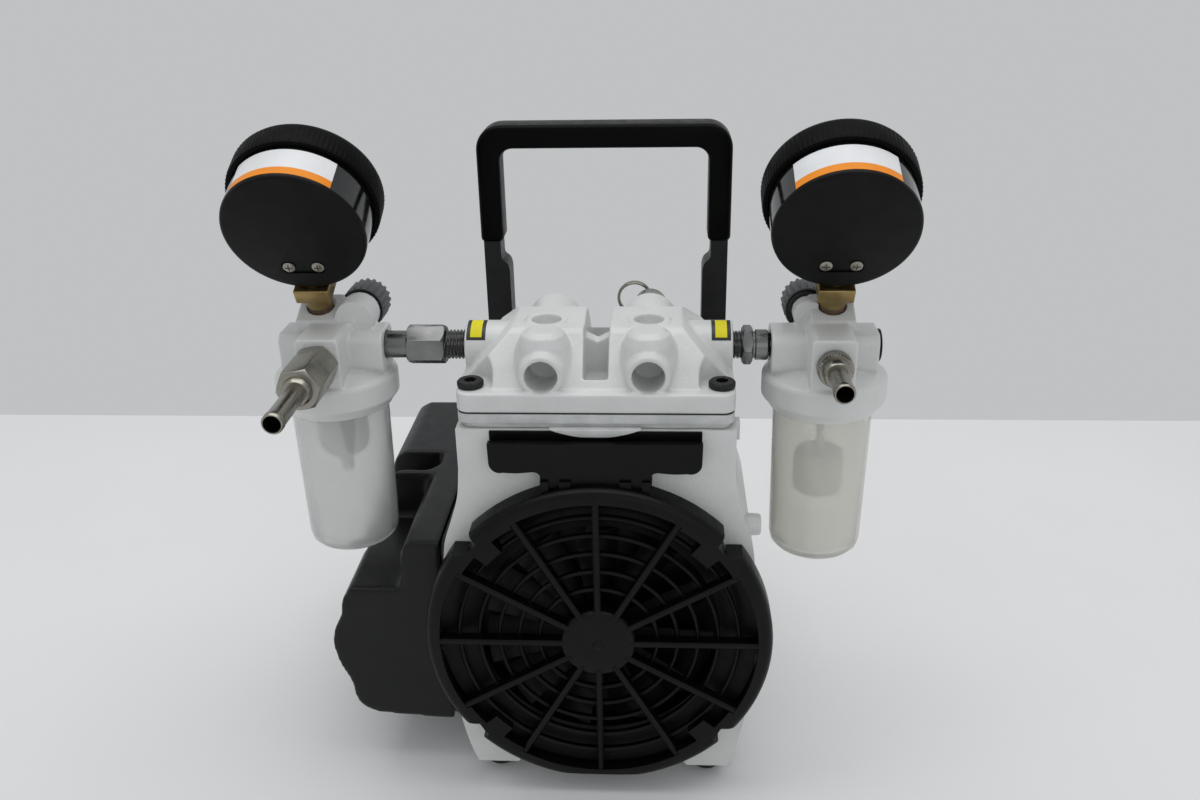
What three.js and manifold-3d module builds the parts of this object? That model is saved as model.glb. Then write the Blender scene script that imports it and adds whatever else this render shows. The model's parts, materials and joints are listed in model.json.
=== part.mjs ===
// Oil-free piston vacuum pump with two filter-regulators, dial gauges and a carrying handle.
// Units are millimetres, +Z is up and +Y runs from the front fan guard to the rear operator side.
// Every sub-part is modelled in the design frame: x = 0 on the crank axis, y = 0 on the front face
// of the fan guard, z = 0 on the floor. The finished group is then moved so that the origin is the
// centre of the footprint of the whole pump.
import * as THREE from 'three';
import { mergeVertices } from 'three/addons/utils/BufferGeometryUtils.js';
import Module from 'manifold-3d';

const wasm = await Module();
wasm.setup();

// ---------------------------------------------------------------- driving dimensions
const GAP = 0.3;                 // clearance left between neighbouring pieces
const RUNNING_FIT = 0.05;        // radial clearance of a shaft in its bearing
const ROUND = 28;                // facets round a large circle
const FINE = 16;                 // facets round a middle-sized circle
const SMALL = 12;                // facets round a small circle

const CRANK_Z = 88;              // height of the crank and motor axis
const CYLINDER_Y = 55;           // cylinder axis behind the fan guard's face
const DECK_Z = 191;              // top face of the crankcase
const CASE_FRONT = 13.3;         // front face of the crankcase
const CASE_REAR = 97;            // rear face of the crankcase
const CASE_HALF = 61;            // half width of the upper crankcase
const HIP_HALF = 71;             // half width of the crankcase beside the crank
const CAVITY_RADIUS = 58;        // crank chamber
const BACK_WALL_Y = 88;          // front face of the crankcase's rear wall

const GUARD_RADIUS = 80;
const GUARD_DEPTH = 12.8;
const GUARD_MOUTH = 73.2;        // inner radius of the guard's rim
const GUARD_HUB = 17.4;
const RING_FIRST = 27.2;         // radius of the innermost thin ring
const RING_STEP = 9.32;
const RING_COUNT = 5;
const RING_WIDTH = 1.7;
const SPOKE_COUNT = 12;
const SPOKE_WIDTH = 3;

const BORE_RADIUS = 30;
const CRANK_THROW = 4;           // half of the piston's stroke
const CROWN_Z = 186;             // piston crown at the top of its stroke
const SHAFT_RADIUS = 6;
const BEARING_RADIUS = 16;
const REED_X = 17;               // reed valves stand this far either side of the cylinder axis
const MOTOR_RADIUS = 56;
const MOTOR_REAR = 150;          // rear end of the motor shell
const BELL_REAR = 170;           // rear end of the end bell
const COVER_REAR = 192;          // rear end of the fan cover

const HEAD_BASE = 199.2;
const HEAD_TOP = 228.5;
const FLANGE_TOP = 207.5;
const HEAD_HALF = 60.5;
const HEAD_FRONT = 13.2;
const HEAD_REAR = 96.8;
const PORT_Z = 214.6;            // axis of the side ports, nipples and regulator ports
const PORT_SPREAD = 23;          // the four barrel bosses stand this far from the centre line
const SCREW_X = 54.6;
const SCREW_INSET = 9.4;         // head screws behind the front edge and before the rear edge

const HANDLE_Y = 130;
const HANDLE_HALF = 61.5;
const HANDLE_TOP = 302;
const GRIP_WIDTH = 11.4;
const GRIP_DEPTH = 18;
const GRIP_FOOT_Z = 243;         // lower end of the grip's sleeve

const BOX_INNER = -74.6;         // side of the electrical box that faces the pump
const BOX_FRONT = 22;
const BOX_REAR = 185;
const BOX_TOP = 128;
const BOX_STEP = 102;            // top of the lower front shoulder

const GAUGE_TILT = 25.7;         // the dials look up towards the rear by this many degrees
const GAUGE_RADIUS = 31.2;
const BEZEL_RADIUS = 34;
const STEM_REACH = 47;           // gauge centre to the regulator's gauge port face
const GAUGE_PORT_Y = 61;
const GAUGE_PORT_Z = 231.6;
const KNOB_Z = 227;               // axis of the needle valve's knob

const SIDES = {
  right: { x: 103, away: 1, gaugeX: 2.3, knobX: -8, bonnetY: 11.2, bowlFloor: 112.5 },
  left: { x: -123.5, away: -1, gaugeX: -5.5, knobX: 11.5, bonnetY: -2, bowlFloor: 114.5 },
};

// ---------------------------------------------------------------- materials
const PAINTS = {
  whiteEnamel: [0xe4e6e5, 0.42, 0.0],
  clearLens: [0xdfe6e8, 0.05, 0.0],
  blackPlastic: [0x191a1b, 0.55, 0.0],
  glossBlack: [0x0c0c0d, 0.22, 0.0],
  greyPlastic: [0x5a5c5e, 0.5, 0.0],
  frosted: [0xe9eadf, 0.45, 0.0],
  zinc: [0x8e9294, 0.35, 0.9],
  nickel: [0xb2ab9b, 0.28, 0.95],
  brass: [0x9a7a42, 0.35, 0.95],
  steel: [0x85888b, 0.35, 0.95],
  blackSteel: [0x141414, 0.4, 0.6],
  aluminium: [0xa9adb0, 0.45, 0.85],
  rubber: [0x101010, 0.85, 0.0],
  laminate: [0x4c4e52, 0.5, 0.8],
  sinter: [0xc9c9c2, 0.8, 0.0],
  pointerBlack: [0x1c1c1c, 0.4, 0.0],
  bearingSteel: [0xa0a4a8, 0.25, 0.95],
};

// ---------------------------------------------------------------- solid helpers
function toSolid(geometry) {
  const bare = new THREE.BufferGeometry();
  bare.setAttribute('position', geometry.getAttribute('position').clone());
  if (geometry.index) bare.setIndex(geometry.index.clone());
  const merged = mergeVertices(bare, 1e-4);
  const places = new Float32Array(merged.attributes.position.array);
  const corners = merged.index.array;
  const kept = [];
  let volume = 0;
  for (let i = 0; i < corners.length; i += 3) {
    const [a, b, c] = [corners[i], corners[i + 1], corners[i + 2]];
    if (a === b || b === c || a === c) continue;
    kept.push(a, b, c);
    const [pa, pb, pc] = [a, b, c].map((k) => new THREE.Vector3().fromArray(places, 3 * k));
    volume += pa.dot(pb.cross(pc));
  }
  if (volume < 0) {
    for (let i = 0; i < kept.length; i += 3) [kept[i], kept[i + 1]] = [kept[i + 1], kept[i]];
  }
  const mesh = new wasm.Mesh({ numProp: 3, vertProperties: places, triVerts: new Uint32Array(kept) });
  return new wasm.Manifold(mesh);
}

function toGeometry(solid) {
  const mesh = solid.getMesh();
  const geometry = new THREE.BufferGeometry();
  geometry.setAttribute('position', new THREE.BufferAttribute(new Float32Array(mesh.vertProperties), 3));
  geometry.setIndex(new THREE.BufferAttribute(new Uint32Array(mesh.triVerts), 1));
  geometry.computeVertexNormals();
  return geometry;
}

const join = (...solids) => solids.reduce((whole, next) => whole.add(next));
const cut = (solid, ...tools) => tools.reduce((left, tool) => left.subtract(tool), solid);

function block(x0, x1, y0, y1, z0, z1) {
  const geometry = new THREE.BoxGeometry(x1 - x0, y1 - y0, z1 - z0);
  return toSolid(geometry.translate((x0 + x1) / 2, (y0 + y1) / 2, (z0 + z1) / 2));
}

// A shape drawn in the two axes across `axis`, pushed along `axis` from one place to another.
function extrude(points, axis, from, to, holes = []) {
  const shape = new THREE.Shape(points.map(([u, v]) => new THREE.Vector2(u, v)));
  for (const hole of holes) {
    shape.holes.push(new THREE.Path(hole.map(([u, v]) => new THREE.Vector2(u, v))));
  }
  const geometry = new THREE.ExtrudeGeometry(shape, { depth: to - from, bevelEnabled: false });
  if (axis === 'z') return toSolid(geometry.translate(0, 0, from));
  if (axis === 'y') return toSolid(geometry.rotateX(Math.PI / 2).translate(0, to, 0));
  const turn = new THREE.Matrix4().makeBasis(
    new THREE.Vector3(0, 1, 0), new THREE.Vector3(0, 0, 1), new THREE.Vector3(1, 0, 0));
  return toSolid(geometry.applyMatrix4(turn).translate(from, 0, 0));
}

function polar(u, v, radius, degrees) {
  const angle = THREE.MathUtils.degToRad(degrees);
  return [u + radius * Math.cos(angle), v + radius * Math.sin(angle)];
}

function arc(u, v, radius, start, end, steps) {
  const points = [];
  for (let i = 0; i <= steps; i += 1) points.push(polar(u, v, radius, start + (end - start) * i / steps));
  return points;
}

const circle = (u, v, radius, facets = FINE) => arc(u, v, radius, 0, 360, facets).slice(0, -1);

function roundedRect(u0, u1, v0, v1, radius, steps = 4) {
  return [
    ...arc(u1 - radius, v0 + radius, radius, -90, 0, steps),
    ...arc(u1 - radius, v1 - radius, radius, 0, 90, steps),
    ...arc(u0 + radius, v1 - radius, radius, 90, 180, steps),
    ...arc(u0 + radius, v0 + radius, radius, 180, 270, steps),
  ];
}

const hexagon = (u, v, flats) => circle(u, v, flats / Math.sqrt(3), 6);

function rodX(radius, from, to, y, z, facets = FINE) {
  return extrude(circle(y, z, radius, facets), 'x', from, to);
}

function rodY(radius, from, to, x, z, facets = FINE) {
  return extrude(circle(x, z, radius, facets), 'y', from, to);
}

function rodZ(radius, from, to, x, y, facets = FINE) {
  return extrude(circle(x, y, radius, facets), 'z', from, to);
}

// Turned shapes: the profile is a list of [radius, height] that starts and ends on the axis.
function turnZ(profile, facets = FINE) {
  const points = profile.map(([radius, height]) => new THREE.Vector2(radius, height));
  return toSolid(new THREE.LatheGeometry(points, facets).rotateX(Math.PI / 2));
}

function turnY(profile, facets = FINE) {
  const points = profile.map(([radius, height]) => new THREE.Vector2(radius, height));
  return toSolid(new THREE.LatheGeometry(points, facets));
}

const moved = (solid, x, y, z) => solid.translate([x, y, z]);

// Corner radius of a faceted bore whose flats still clear a turning shaft.
const boreFor = (shaft) => (shaft + RUNNING_FIT) / Math.cos(Math.PI / FINE);

// The same span on the right (side 1) or the left (side -1), in rising order.
const span = (side, near, far) => [Math.min(side * near, side * far), Math.max(side * near, side * far)];

const pump = new THREE.Group();

function piece(name, solid, paint, home = pump) {
  const [color, roughness, metalness] = PAINTS[paint];
  const material = new THREE.MeshStandardMaterial({ color, roughness, metalness });
  const mesh = new THREE.Mesh(toGeometry(solid), material);
  mesh.name = name;
  home.add(mesh);
  return mesh;
}

// ---------------------------------------------------------------- crankcase
function housingOutline() {
  const right = [
    [42, 7], [62, 7], [66, 18], [70, 40], [HIP_HALF, 56], [HIP_HALF, 126], [68.5, 138],
    [64, 152], [CASE_HALF + 0.4, 166], [CASE_HALF, DECK_Z],
  ];
  const left = right.map(([x, z]) => [-x, z]).reverse();
  return [...right, ...left, [-36, 14], [36, 14]];
}

function crankcase() {
  const sleeveBore = 34;
  const boltClearance = 3.3;
  let body = extrude(housingOutline(), 'y', CASE_FRONT, CASE_REAR);
  body = cut(
    body,
    rodY(CAVITY_RADIUS, CASE_FRONT - 1, BACK_WALL_Y, 0, CRANK_Z, ROUND),
    rodY(BEARING_RADIUS + GAP, BACK_WALL_Y - 1, CASE_REAR + 1, 0, CRANK_Z, ROUND),
    rodZ(sleeveBore, CRANK_Z, DECK_Z + 1, 0, CYLINDER_Y, ROUND),
    rodZ(43.4, DECK_Z - 4, DECK_Z + 1, 0, CYLINDER_Y, ROUND),
    // T-shaped pocket behind the air shroud
    block(-46.5, 46.5, CASE_FRONT - 1, 24, 173, DECK_Z - 4.2),
    block(-24.6, 24.6, CASE_FRONT - 1, 24, 140, 174),
  );
  for (const [x, y] of headScrewPlaces()) {
    body = cut(body, rodZ(boltClearance, 168, DECK_Z + 1, x, y, SMALL));
  }
  // raised boss and bracket pad on the right flank
  body = join(
    body,
    rodX(5, HIP_HALF - 2, HIP_HALF + 4, 34, 133, SMALL),
    block(CASE_HALF - 2, CASE_HALF + 2.5, 30, 38, 178, 187),
  );
  piece('crankcase_housing', body, 'whiteEnamel');
}

function headScrewPlaces() {
  const front = HEAD_FRONT + SCREW_INSET;
  const rear = HEAD_REAR - SCREW_INSET;
  return [[-SCREW_X, front], [SCREW_X, front], [-SCREW_X, rear], [SCREW_X, rear]];
}

function feet() {
  const places = {
    front_left: [-52, 25], front_right: [52, 25], rear_left: [-52, 160], rear_right: [52, 160],
  };
  for (const [name, [x, y]] of Object.entries(places)) {
    const profile = [[0, 0], [5.2, 0], [8, 2.4], [8.6, 6.7], [0, 6.7]];
    piece(`foot_${name}`, moved(turnZ(profile, SMALL), x, y, 0), 'rubber');
  }
}

// ---------------------------------------------------------------- fan guard with its T-shaped shroud
function sector(inner, outer, start, end) {
  const steps = outer > 50 && end - start > 20 ? 2 : 1;
  return [
    ...arc(0, CRANK_Z, outer, start, end, steps),
    ...arc(0, CRANK_Z, inner, end, start, steps),
  ];
}

function guardOpenings() {
  const holes = [];
  const pitch = 360 / SPOKE_COUNT;
  for (let ring = 0; ring <= RING_COUNT; ring += 1) {
    const inner = ring === 0 ? GUARD_HUB : RING_FIRST + RING_STEP * (ring - 1) + RING_WIDTH / 2;
    const outer = ring === RING_COUNT ? GUARD_MOUTH : RING_FIRST + RING_STEP * ring - RING_WIDTH / 2;
    const trim = THREE.MathUtils.radToDeg(SPOKE_WIDTH / (inner + outer));
    for (let spoke = 0; spoke < SPOKE_COUNT; spoke += 1) {
      const start = spoke * pitch + trim;
      const end = (spoke + 1) * pitch - trim;
      const middle = (start + end) / 2;
      const diagonal = Math.round(middle) % 90 === 45;
      if (ring === RING_COUNT && diagonal) {
        holes.push(sector(inner, outer, start, middle - 4), sector(inner, outer, middle + 4, end));
      } else {
        holes.push(sector(inner, outer, start, end));
      }
    }
  }
  return holes;
}

function guardRimOutline() {
  const notchHalf = 4.7;
  const notches = [-40, 40, 140, 220];
  const flatHalf = 18;             // the rim is cut flat near the floor
  const points = [];
  let start = -90 + flatHalf;
  for (const middle of notches) {
    points.push(...arc(0, CRANK_Z, GUARD_RADIUS, start, middle - notchHalf, Math.ceil((middle - start) / 7)));
    points.push(...arc(0, CRANK_Z, GUARD_MOUTH + 1.8, middle - notchHalf, middle + notchHalf, 1));
    start = middle + notchHalf;
  }
  points.push(...arc(0, CRANK_Z, GUARD_RADIUS, start, 270 - flatHalf, 4));
  return points;
}

function fanGuard() {
  const faceThickness = 3.4;
  let body = extrude(guardRimOutline(), 'y', 0, faceThickness, guardOpenings());
  const skirtMouth = circle(0, CRANK_Z, GUARD_RADIUS - 3.5, ROUND);
  const skirt = extrude(guardRimOutline(), 'y', faceThickness - 0.5, GUARD_DEPTH);
  body = join(body, cut(skirt, extrude(skirtMouth, 'y', faceThickness - 1, GUARD_DEPTH + 1)));
  const dome = [[0, -1.6], [2.4, -1.4], [2.4, -0.6], [10, 0], [GUARD_HUB, 0.6], [GUARD_HUB, 3], [0, 3]];
  body = join(body, moved(turnY(dome, FINE), 0, 0, CRANK_Z));
  const shroud = [
    [-24, 170], [24, 170], [24, 173.6], [27, 175.2], [40, 174.2], [45.6, 177], [46.2, 187.4],
    [-46.2, 187.4], [-45.6, 177], [-40, 174.2], [-27, 175.2], [-24, 173.6],
  ];
  const band = roundedRect(-46.2, 46.2, 182, DECK_Z - 0.4, 1.5, 2);
  body = join(
    body,
    extrude(shroud, 'y', 6, 9.6),
    extrude(band, 'y', 8.6, 11.6),
    block(-16, -10, 4.5, 9, 164, 172),
    block(10, 16, 4.5, 9, 164, 172),
    block(-24, -20, 4.5, 9.6, 160, 172),
    block(20, 24, 4.5, 9.6, 160, 172),
  );
  piece('fan_guard', body, 'blackPlastic');
}

// ---------------------------------------------------------------- crank train and motor
function fan(name, y0, y1, radius, blades) {
  const hubRadius = 15;
  let body = rodY(hubRadius, y0, y1, 0, CRANK_Z);
  const pitch = 360 / blades;
  const depth = y1 - y0 - 2;
  for (let i = 0; i < blades; i += 1) {
    const blade = block(-1, 1, -depth / 2, depth / 2, hubRadius - 2, radius);
    const leaned = blade.rotate([0, 0, 32]).rotate([0, i * pitch, 0]);
    body = body.add(moved(leaned, 0, (y0 + y1) / 2, CRANK_Z));
  }
  body = cut(body, rodY(SHAFT_RADIUS + GAP, y0 - 1, y1 + 1, 0, CRANK_Z));
  piece(name, body, 'blackPlastic');
}

function crankTrain() {
  const y0 = CYLINDER_Y - 6;
  const y1 = CYLINDER_Y + 6;
  // shaft with the motor's rotor core pressed on it
  const shaft = join(rodY(SHAFT_RADIUS, 7, 188, 0, CRANK_Z), rodY(32, 105, 150, 0, CRANK_Z));
  piece('crankshaft_rotor', shaft, 'steel');

  // eccentric journal with a fan-shaped counterweight behind it
  const journalRadius = 13;
  const weight = [...arc(0, CRANK_Z, 34, 205, 335, 8), [11, CRANK_Z - 2], [-11, CRANK_Z - 2]];
  const eccentric = cut(
    join(
      rodY(journalRadius, y0, y1 + 4, 0, CRANK_Z + CRANK_THROW),
      extrude(weight, 'y', y1 + 1, y1 + 15),
      rodY(15, y1 + 1, y1 + 15, 0, CRANK_Z),
    ),
    rodY(SHAFT_RADIUS + GAP, y0 - 1, y1 + 20, 0, CRANK_Z),
  );
  piece('eccentric_counterweight', eccentric, 'steel');

  // connecting rod and piston disc in one piece: big end, tapered shank, disc
  const pinZ = CRANK_Z + CRANK_THROW;
  const discBottom = CROWN_Z - 6;
  const shank = [[-11, pinZ + 15], [11, pinZ + 15], [7, discBottom - 8], [13, discBottom + 1],
    [-13, discBottom + 1], [-7, discBottom - 8]];
  const rod = cut(
    join(
      rodY(19, y0, y1, 0, pinZ),
      extrude(shank, 'y', y0 + 1, y1 - 1),
      rodZ(23.5, discBottom, CROWN_Z - 1.6, 0, CYLINDER_Y),
    ),
    rodY(boreFor(journalRadius), y0 - 1, y1 + 1, 0, pinZ),
  );
  piece('connecting_rod', rod, 'aluminium');
  const cup = cut(
    rodZ(25.4, CROWN_Z - 4.6, CROWN_Z, 0, CYLINDER_Y),
    rodZ(23.8, CROWN_Z - 6, CROWN_Z - 1.3, 0, CYLINDER_Y),
  );
  piece('piston_cup', cup, 'sinter');

  fan('cooling_fan_front', 8, 20, 53, 10);
  fan('cooling_fan_rear', 174, 186, 46, 10);
}

function ringY(outer, inner, from, to, facets = FINE) {
  return extrude(circle(0, CRANK_Z, outer, facets), 'y', from, to, [circle(0, CRANK_Z, inner, facets)]);
}

function motor() {
  const bearingBore = boreFor(SHAFT_RADIUS);
  piece('front_bearing', ringY(BEARING_RADIUS, bearingBore, BACK_WALL_Y, 96), 'bearingSteel');
  const shell = ringY(MOTOR_RADIUS, MOTOR_RADIUS - 3, CASE_REAR + GAP, MOTOR_REAR, ROUND);
  piece('motor_shell', shell, 'whiteEnamel');
  piece('motor_stator', ringY(MOTOR_RADIUS - 3.3, 32.6, 103, 148, ROUND), 'laminate');

  // end bell: dished disc with a bearing seat, and two legs that carry the rear feet
  const legs = [
    [42, 7], [62, 7], [60, 30], [50, 62], [-50, 62], [-60, 30],
    [-62, 7], [-42, 7], [-34, 24], [34, 24],
  ];
  let bell = join(
    rodY(MOTOR_RADIUS, MOTOR_REAR + GAP, BELL_REAR, 0, CRANK_Z, ROUND),
    extrude(legs, 'y', MOTOR_REAR + 2, BELL_REAR),
  );
  bell = cut(
    bell,
    rodY(MOTOR_RADIUS - 5, MOTOR_REAR - 1, BELL_REAR - 12, 0, CRANK_Z, ROUND),
    rodY(BEARING_RADIUS + GAP, MOTOR_REAR, BELL_REAR - 3, 0, CRANK_Z),
    rodY(SHAFT_RADIUS + 3, MOTOR_REAR, BELL_REAR + 1, 0, CRANK_Z),
  );
  const vents = 8;
  for (let i = 0; i < vents; i += 1) {
    const [x, z] = polar(0, CRANK_Z, 34, (i + 0.5) * 360 / vents);
    bell = cut(bell, rodY(6.5, MOTOR_REAR, BELL_REAR + 1, x, z, SMALL));
  }
  piece('rear_end_bell', bell, 'whiteEnamel');
  const rearBearing = ringY(BEARING_RADIUS, bearingBore, BELL_REAR - 12, BELL_REAR - 3.3);
  piece('rear_bearing', rearBearing, 'bearingSteel');

  // rear fan cover: shallow cup with radial slots
  let cover = cut(
    rodY(MOTOR_RADIUS, BELL_REAR + GAP, COVER_REAR, 0, CRANK_Z, ROUND),
    rodY(MOTOR_RADIUS - 3, BELL_REAR - 1, COVER_REAR - 3, 0, CRANK_Z, ROUND),
  );
  const slots = 16;
  for (let i = 0; i < slots; i += 1) {
    const slot = block(-2.4, 2.4, COVER_REAR - 5, COVER_REAR + 1, 16, 44);
    cover = cut(cover, moved(slot.rotate([0, i * 360 / slots, 0]), 0, 0, CRANK_Z));
  }
  piece('rear_fan_cover', cover, 'blackPlastic');
}

// ---------------------------------------------------------------- cylinder, valve plate and head
function cylinder() {
  const sleeve = cut(
    join(
      rodZ(33.7, 134, DECK_Z - GAP, 0, CYLINDER_Y, ROUND),
      rodZ(43, DECK_Z - 3.7, DECK_Z - GAP, 0, CYLINDER_Y, ROUND),
    ),
    rodZ(BORE_RADIUS, 133, DECK_Z + 1, 0, CYLINDER_Y, ROUND),
  );
  piece('cylinder_sleeve', sleeve, 'aluminium');
}

function drilled(solid, from, to) {
  return cut(solid, ...headScrewPlaces().map(([x, y]) => rodZ(3.3, from, to, x, y, SMALL)));
}

function valvePlate() {
  const outline = roundedRect(-HEAD_HALF, HEAD_HALF, HEAD_FRONT + 0.3, HEAD_REAR - 0.3, 5);
  const plateTop = 198;
  let plate = drilled(extrude(outline, 'z', DECK_Z + GAP, plateTop), DECK_Z, plateTop + 1);
  plate = cut(
    plate,
    rodZ(5, DECK_Z, plateTop + 1, -REED_X, 60, SMALL),
    rodZ(5, DECK_Z, plateTop + 1, REED_X, 50, SMALL),
  );
  piece('valve_plate', plate, 'aluminium');

  const chambers = [roundedRect(-48, -9, 26, 84, 4, 2), roundedRect(9, 48, 26, 84, 4, 2)];
  const gasket = extrude(outline, 'z', plateTop + 0.15, HEAD_BASE - 0.15, chambers);
  piece('head_gasket', drilled(gasket, plateTop, HEAD_BASE + 1), 'rubber');

  // reed valves: thin spring tongues, clamped at one end over their ports
  const tongue = (x, y0, y1) => [[x - 5, y0], [x + 5, y0], [x + 7, (y0 + y1) / 2], [x + 6, y1 - 2],
    [x + 2, y1], [x - 2, y1], [x - 6, y1 - 2], [x - 7, (y0 + y1) / 2]];
  piece('intake_reed', extrude(tongue(-REED_X, 40, 64), 'z', DECK_Z - 0.4, DECK_Z + 0.1), 'steel');
  piece('exhaust_reed', extrude(tongue(REED_X, 34, 58), 'z', plateTop + 0.2, plateTop + 0.7), 'steel');
}

function cylinderHead() {
  const outline = roundedRect(-HEAD_HALF, HEAD_HALF, HEAD_FRONT, HEAD_REAR, 6);
  const base = extrude(outline, 'z', HEAD_BASE, FLANGE_TOP);
  const ridge = [
    [18, FLANGE_TOP - 1], [92, FLANGE_TOP - 1], [84, 216], [71, HEAD_TOP - 1.5], [68, HEAD_TOP],
    [40, HEAD_TOP], [37, HEAD_TOP - 1.5], [26, 216],
  ];
  const hip = (side) => [[side * 37, HEAD_TOP + 1], [side * 62, HEAD_TOP + 1], [side * 62, FLANGE_TOP - 3]];
  const roof = cut(
    extrude(ridge, 'x', -58, 58),
    extrude(hip(-1), 'y', 10, 100),
    extrude(hip(1), 'y', 10, 100),
  );
  let head = join(base, roof);
  for (const side of [-1, 1]) {
    const x = side * PORT_SPREAD;
    head = join(
      head,
      rodY(13.2, 18.5, 46, x, 212),
      rodY(13.2, 64, 92, x, 214),
      rodX(11, ...span(side, 40, HEAD_HALF), CYLINDER_Y, PORT_Z),
    );
  }
  // scoops round the screw heads, the central slot with its bridge, the ports and the chambers
  for (const [x, y] of headScrewPlaces()) head = cut(head, rodZ(9.6, FLANGE_TOP, 240, x, y));
  head = cut(
    head,
    block(-6.3, 6.3, 23, 44, FLANGE_TOP - 3, 240),
    block(-6.3, 6.3, 52, 87, FLANGE_TOP - 3, 240),
    block(-6.3, 6.3, 43, 53, 225, 240),
  );
  for (const side of [-1, 1]) {
    head = cut(
      head,
      rodY(6.6, 10, 34, side * PORT_SPREAD, 211, SMALL),
      rodZ(6.6, 223, 240, side * PORT_SPREAD, 48.5, SMALL),
      block(...span(side, 9, 48), 26, 84, HEAD_BASE - 1, 204),
      rodX(6.8, ...span(side, 47, 62), CYLINDER_Y, PORT_Z, SMALL),
    );
  }
  head = cut(
    head,
    rodY(5.4, 84, 94, PORT_SPREAD, PORT_Z, SMALL),
    block(-70, 70, 0, 110, 190, HEAD_BASE),
  );
  piece('cylinder_head', drilled(head, HEAD_BASE - 1, FLANGE_TOP + 1), 'whiteEnamel');

  headScrewPlaces().forEach(([x, y], index) => {
    const socket = extrude(hexagon(x, y, 5), 'z', FLANGE_TOP + 1.2, FLANGE_TOP + 5);
    const screw = cut(
      join(
        rodZ(5.5, FLANGE_TOP + GAP, FLANGE_TOP + 3, x, y, SMALL),
        rodZ(3, 170, FLANGE_TOP + 1, x, y, SMALL),
      ),
      socket,
    );
    piece(`head_screw_${index + 1}`, screw, 'blackSteel');
  });
}

// ---------------------------------------------------------------- relief valve on the right rear boss
function reliefValve() {
  const x = PORT_SPREAD;
  const z = PORT_Z;
  const body = cut(
    join(rodY(5, 85, 96, x, z, SMALL), rodY(6.4, 93, 103, x, z, 6), rodY(8, 103, 115, x, z)),
    rodY(3, 98, 116, x, z, SMALL),
  );
  piece('relief_valve_body', body, 'nickel');
  const stem = cut(
    join(rodY(2.6, 100, 117, x, z, SMALL), rodY(3.4, 117, 125, x, z, SMALL)),
    rodZ(1.9, z - 5, z + 5, x, 122, SMALL),
  );
  piece('relief_stem', stem, 'steel');
  const ring = new THREE.TorusGeometry(7.5, 0.9, 6, 20).rotateX(Math.PI / 2);
  piece('relief_pull_ring', moved(toSolid(ring), x - 7.5, 122, z), 'nickel');
}

// ---------------------------------------------------------------- handle
function handle() {
  const foot = 100;
  const bracketTop = GRIP_FOOT_Z;
  const inner = HANDLE_HALF - 12.5;
  const saddleOuter = MOTOR_RADIUS + 5;
  const y0 = HANDLE_Y - 7;
  const y1 = HANDLE_Y + 7;
  const legWidth = 8.5;
  let bracket = cut(
    rodY(saddleOuter + 0.5, y0, y1, 0, CRANK_Z, ROUND),
    rodY(MOTOR_RADIUS + GAP, y0 - 1, y1 + 1, 0, CRANK_Z, ROUND),
    block(-90, 90, y0 - 1, y1 + 1, 0, foot),
  );
  for (const side of [-1, 1]) {
    const leg = [[side * HANDLE_HALF, foot], [side * HANDLE_HALF, bracketTop + 30],
      [side * (HANDLE_HALF - legWidth), bracketTop + 30], [side * (HANDLE_HALF - legWidth), bracketTop - 6],
      [side * inner, bracketTop - 12], [side * inner, 122], [side * 57, 104]];
    bracket = bracket.add(extrude(leg, 'y', y0, y1));
  }
  bracket = cut(bracket, rodY(MOTOR_RADIUS + GAP, y0 - 1, y1 + 1, 0, CRANK_Z, ROUND));
  piece('handle_bracket', bracket, 'blackSteel');

  const outerX = HANDLE_HALF + 1.2;
  const innerX = outerX - GRIP_WIDTH;
  const outline = [
    [outerX, GRIP_FOOT_Z + 1], ...arc(outerX - 13, HANDLE_TOP - 13, 13, 0, 90, 5),
    ...arc(-outerX + 13, HANDLE_TOP - 13, 13, 90, 180, 5), [-outerX, GRIP_FOOT_Z + 1],
    [-innerX, GRIP_FOOT_Z + 1], ...arc(-innerX + 6, HANDLE_TOP - GRIP_WIDTH - 6, 6, 180, 90, 3),
    ...arc(innerX - 6, HANDLE_TOP - GRIP_WIDTH - 6, 6, 90, 0, 3), [innerX, GRIP_FOOT_Z + 1],
  ];
  let grip = extrude(outline, 'y', HANDLE_Y - GRIP_DEPTH / 2, HANDLE_Y + GRIP_DEPTH / 2);
  for (const side of [-1, 1]) {
    const legRoom = span(side, HANDLE_HALF - legWidth - GAP, HANDLE_HALF + GAP);
    grip = cut(grip, block(...legRoom, y0 - GAP, y1 + GAP, GRIP_FOOT_Z, bracketTop + 30 + GAP));
  }
  piece('handle_grip', grip, 'blackPlastic');
}

// ---------------------------------------------------------------- electrical box on the left
// Section across the box, drawn `wall` inside its skin and open towards the pump at x = open.
function boxOutline(wall, open) {
  const skin = [
    [-112, 28 + wall], [-119, 31 + wall], [-123.5, 37], [-125, 47], [-129.5, 58], [-131.5, 69],
    [-130, 78], [-126, 86], [-124.5, 95], [-121, BOX_STEP - 1], [-118, 120], [-115, 125 - wall],
    [-110, BOX_TOP - wall],
  ];
  return [[open, 25 + wall], ...skin.map(([x, z]) => [x + wall, z]), [open, BOX_TOP - wall]];
}

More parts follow.
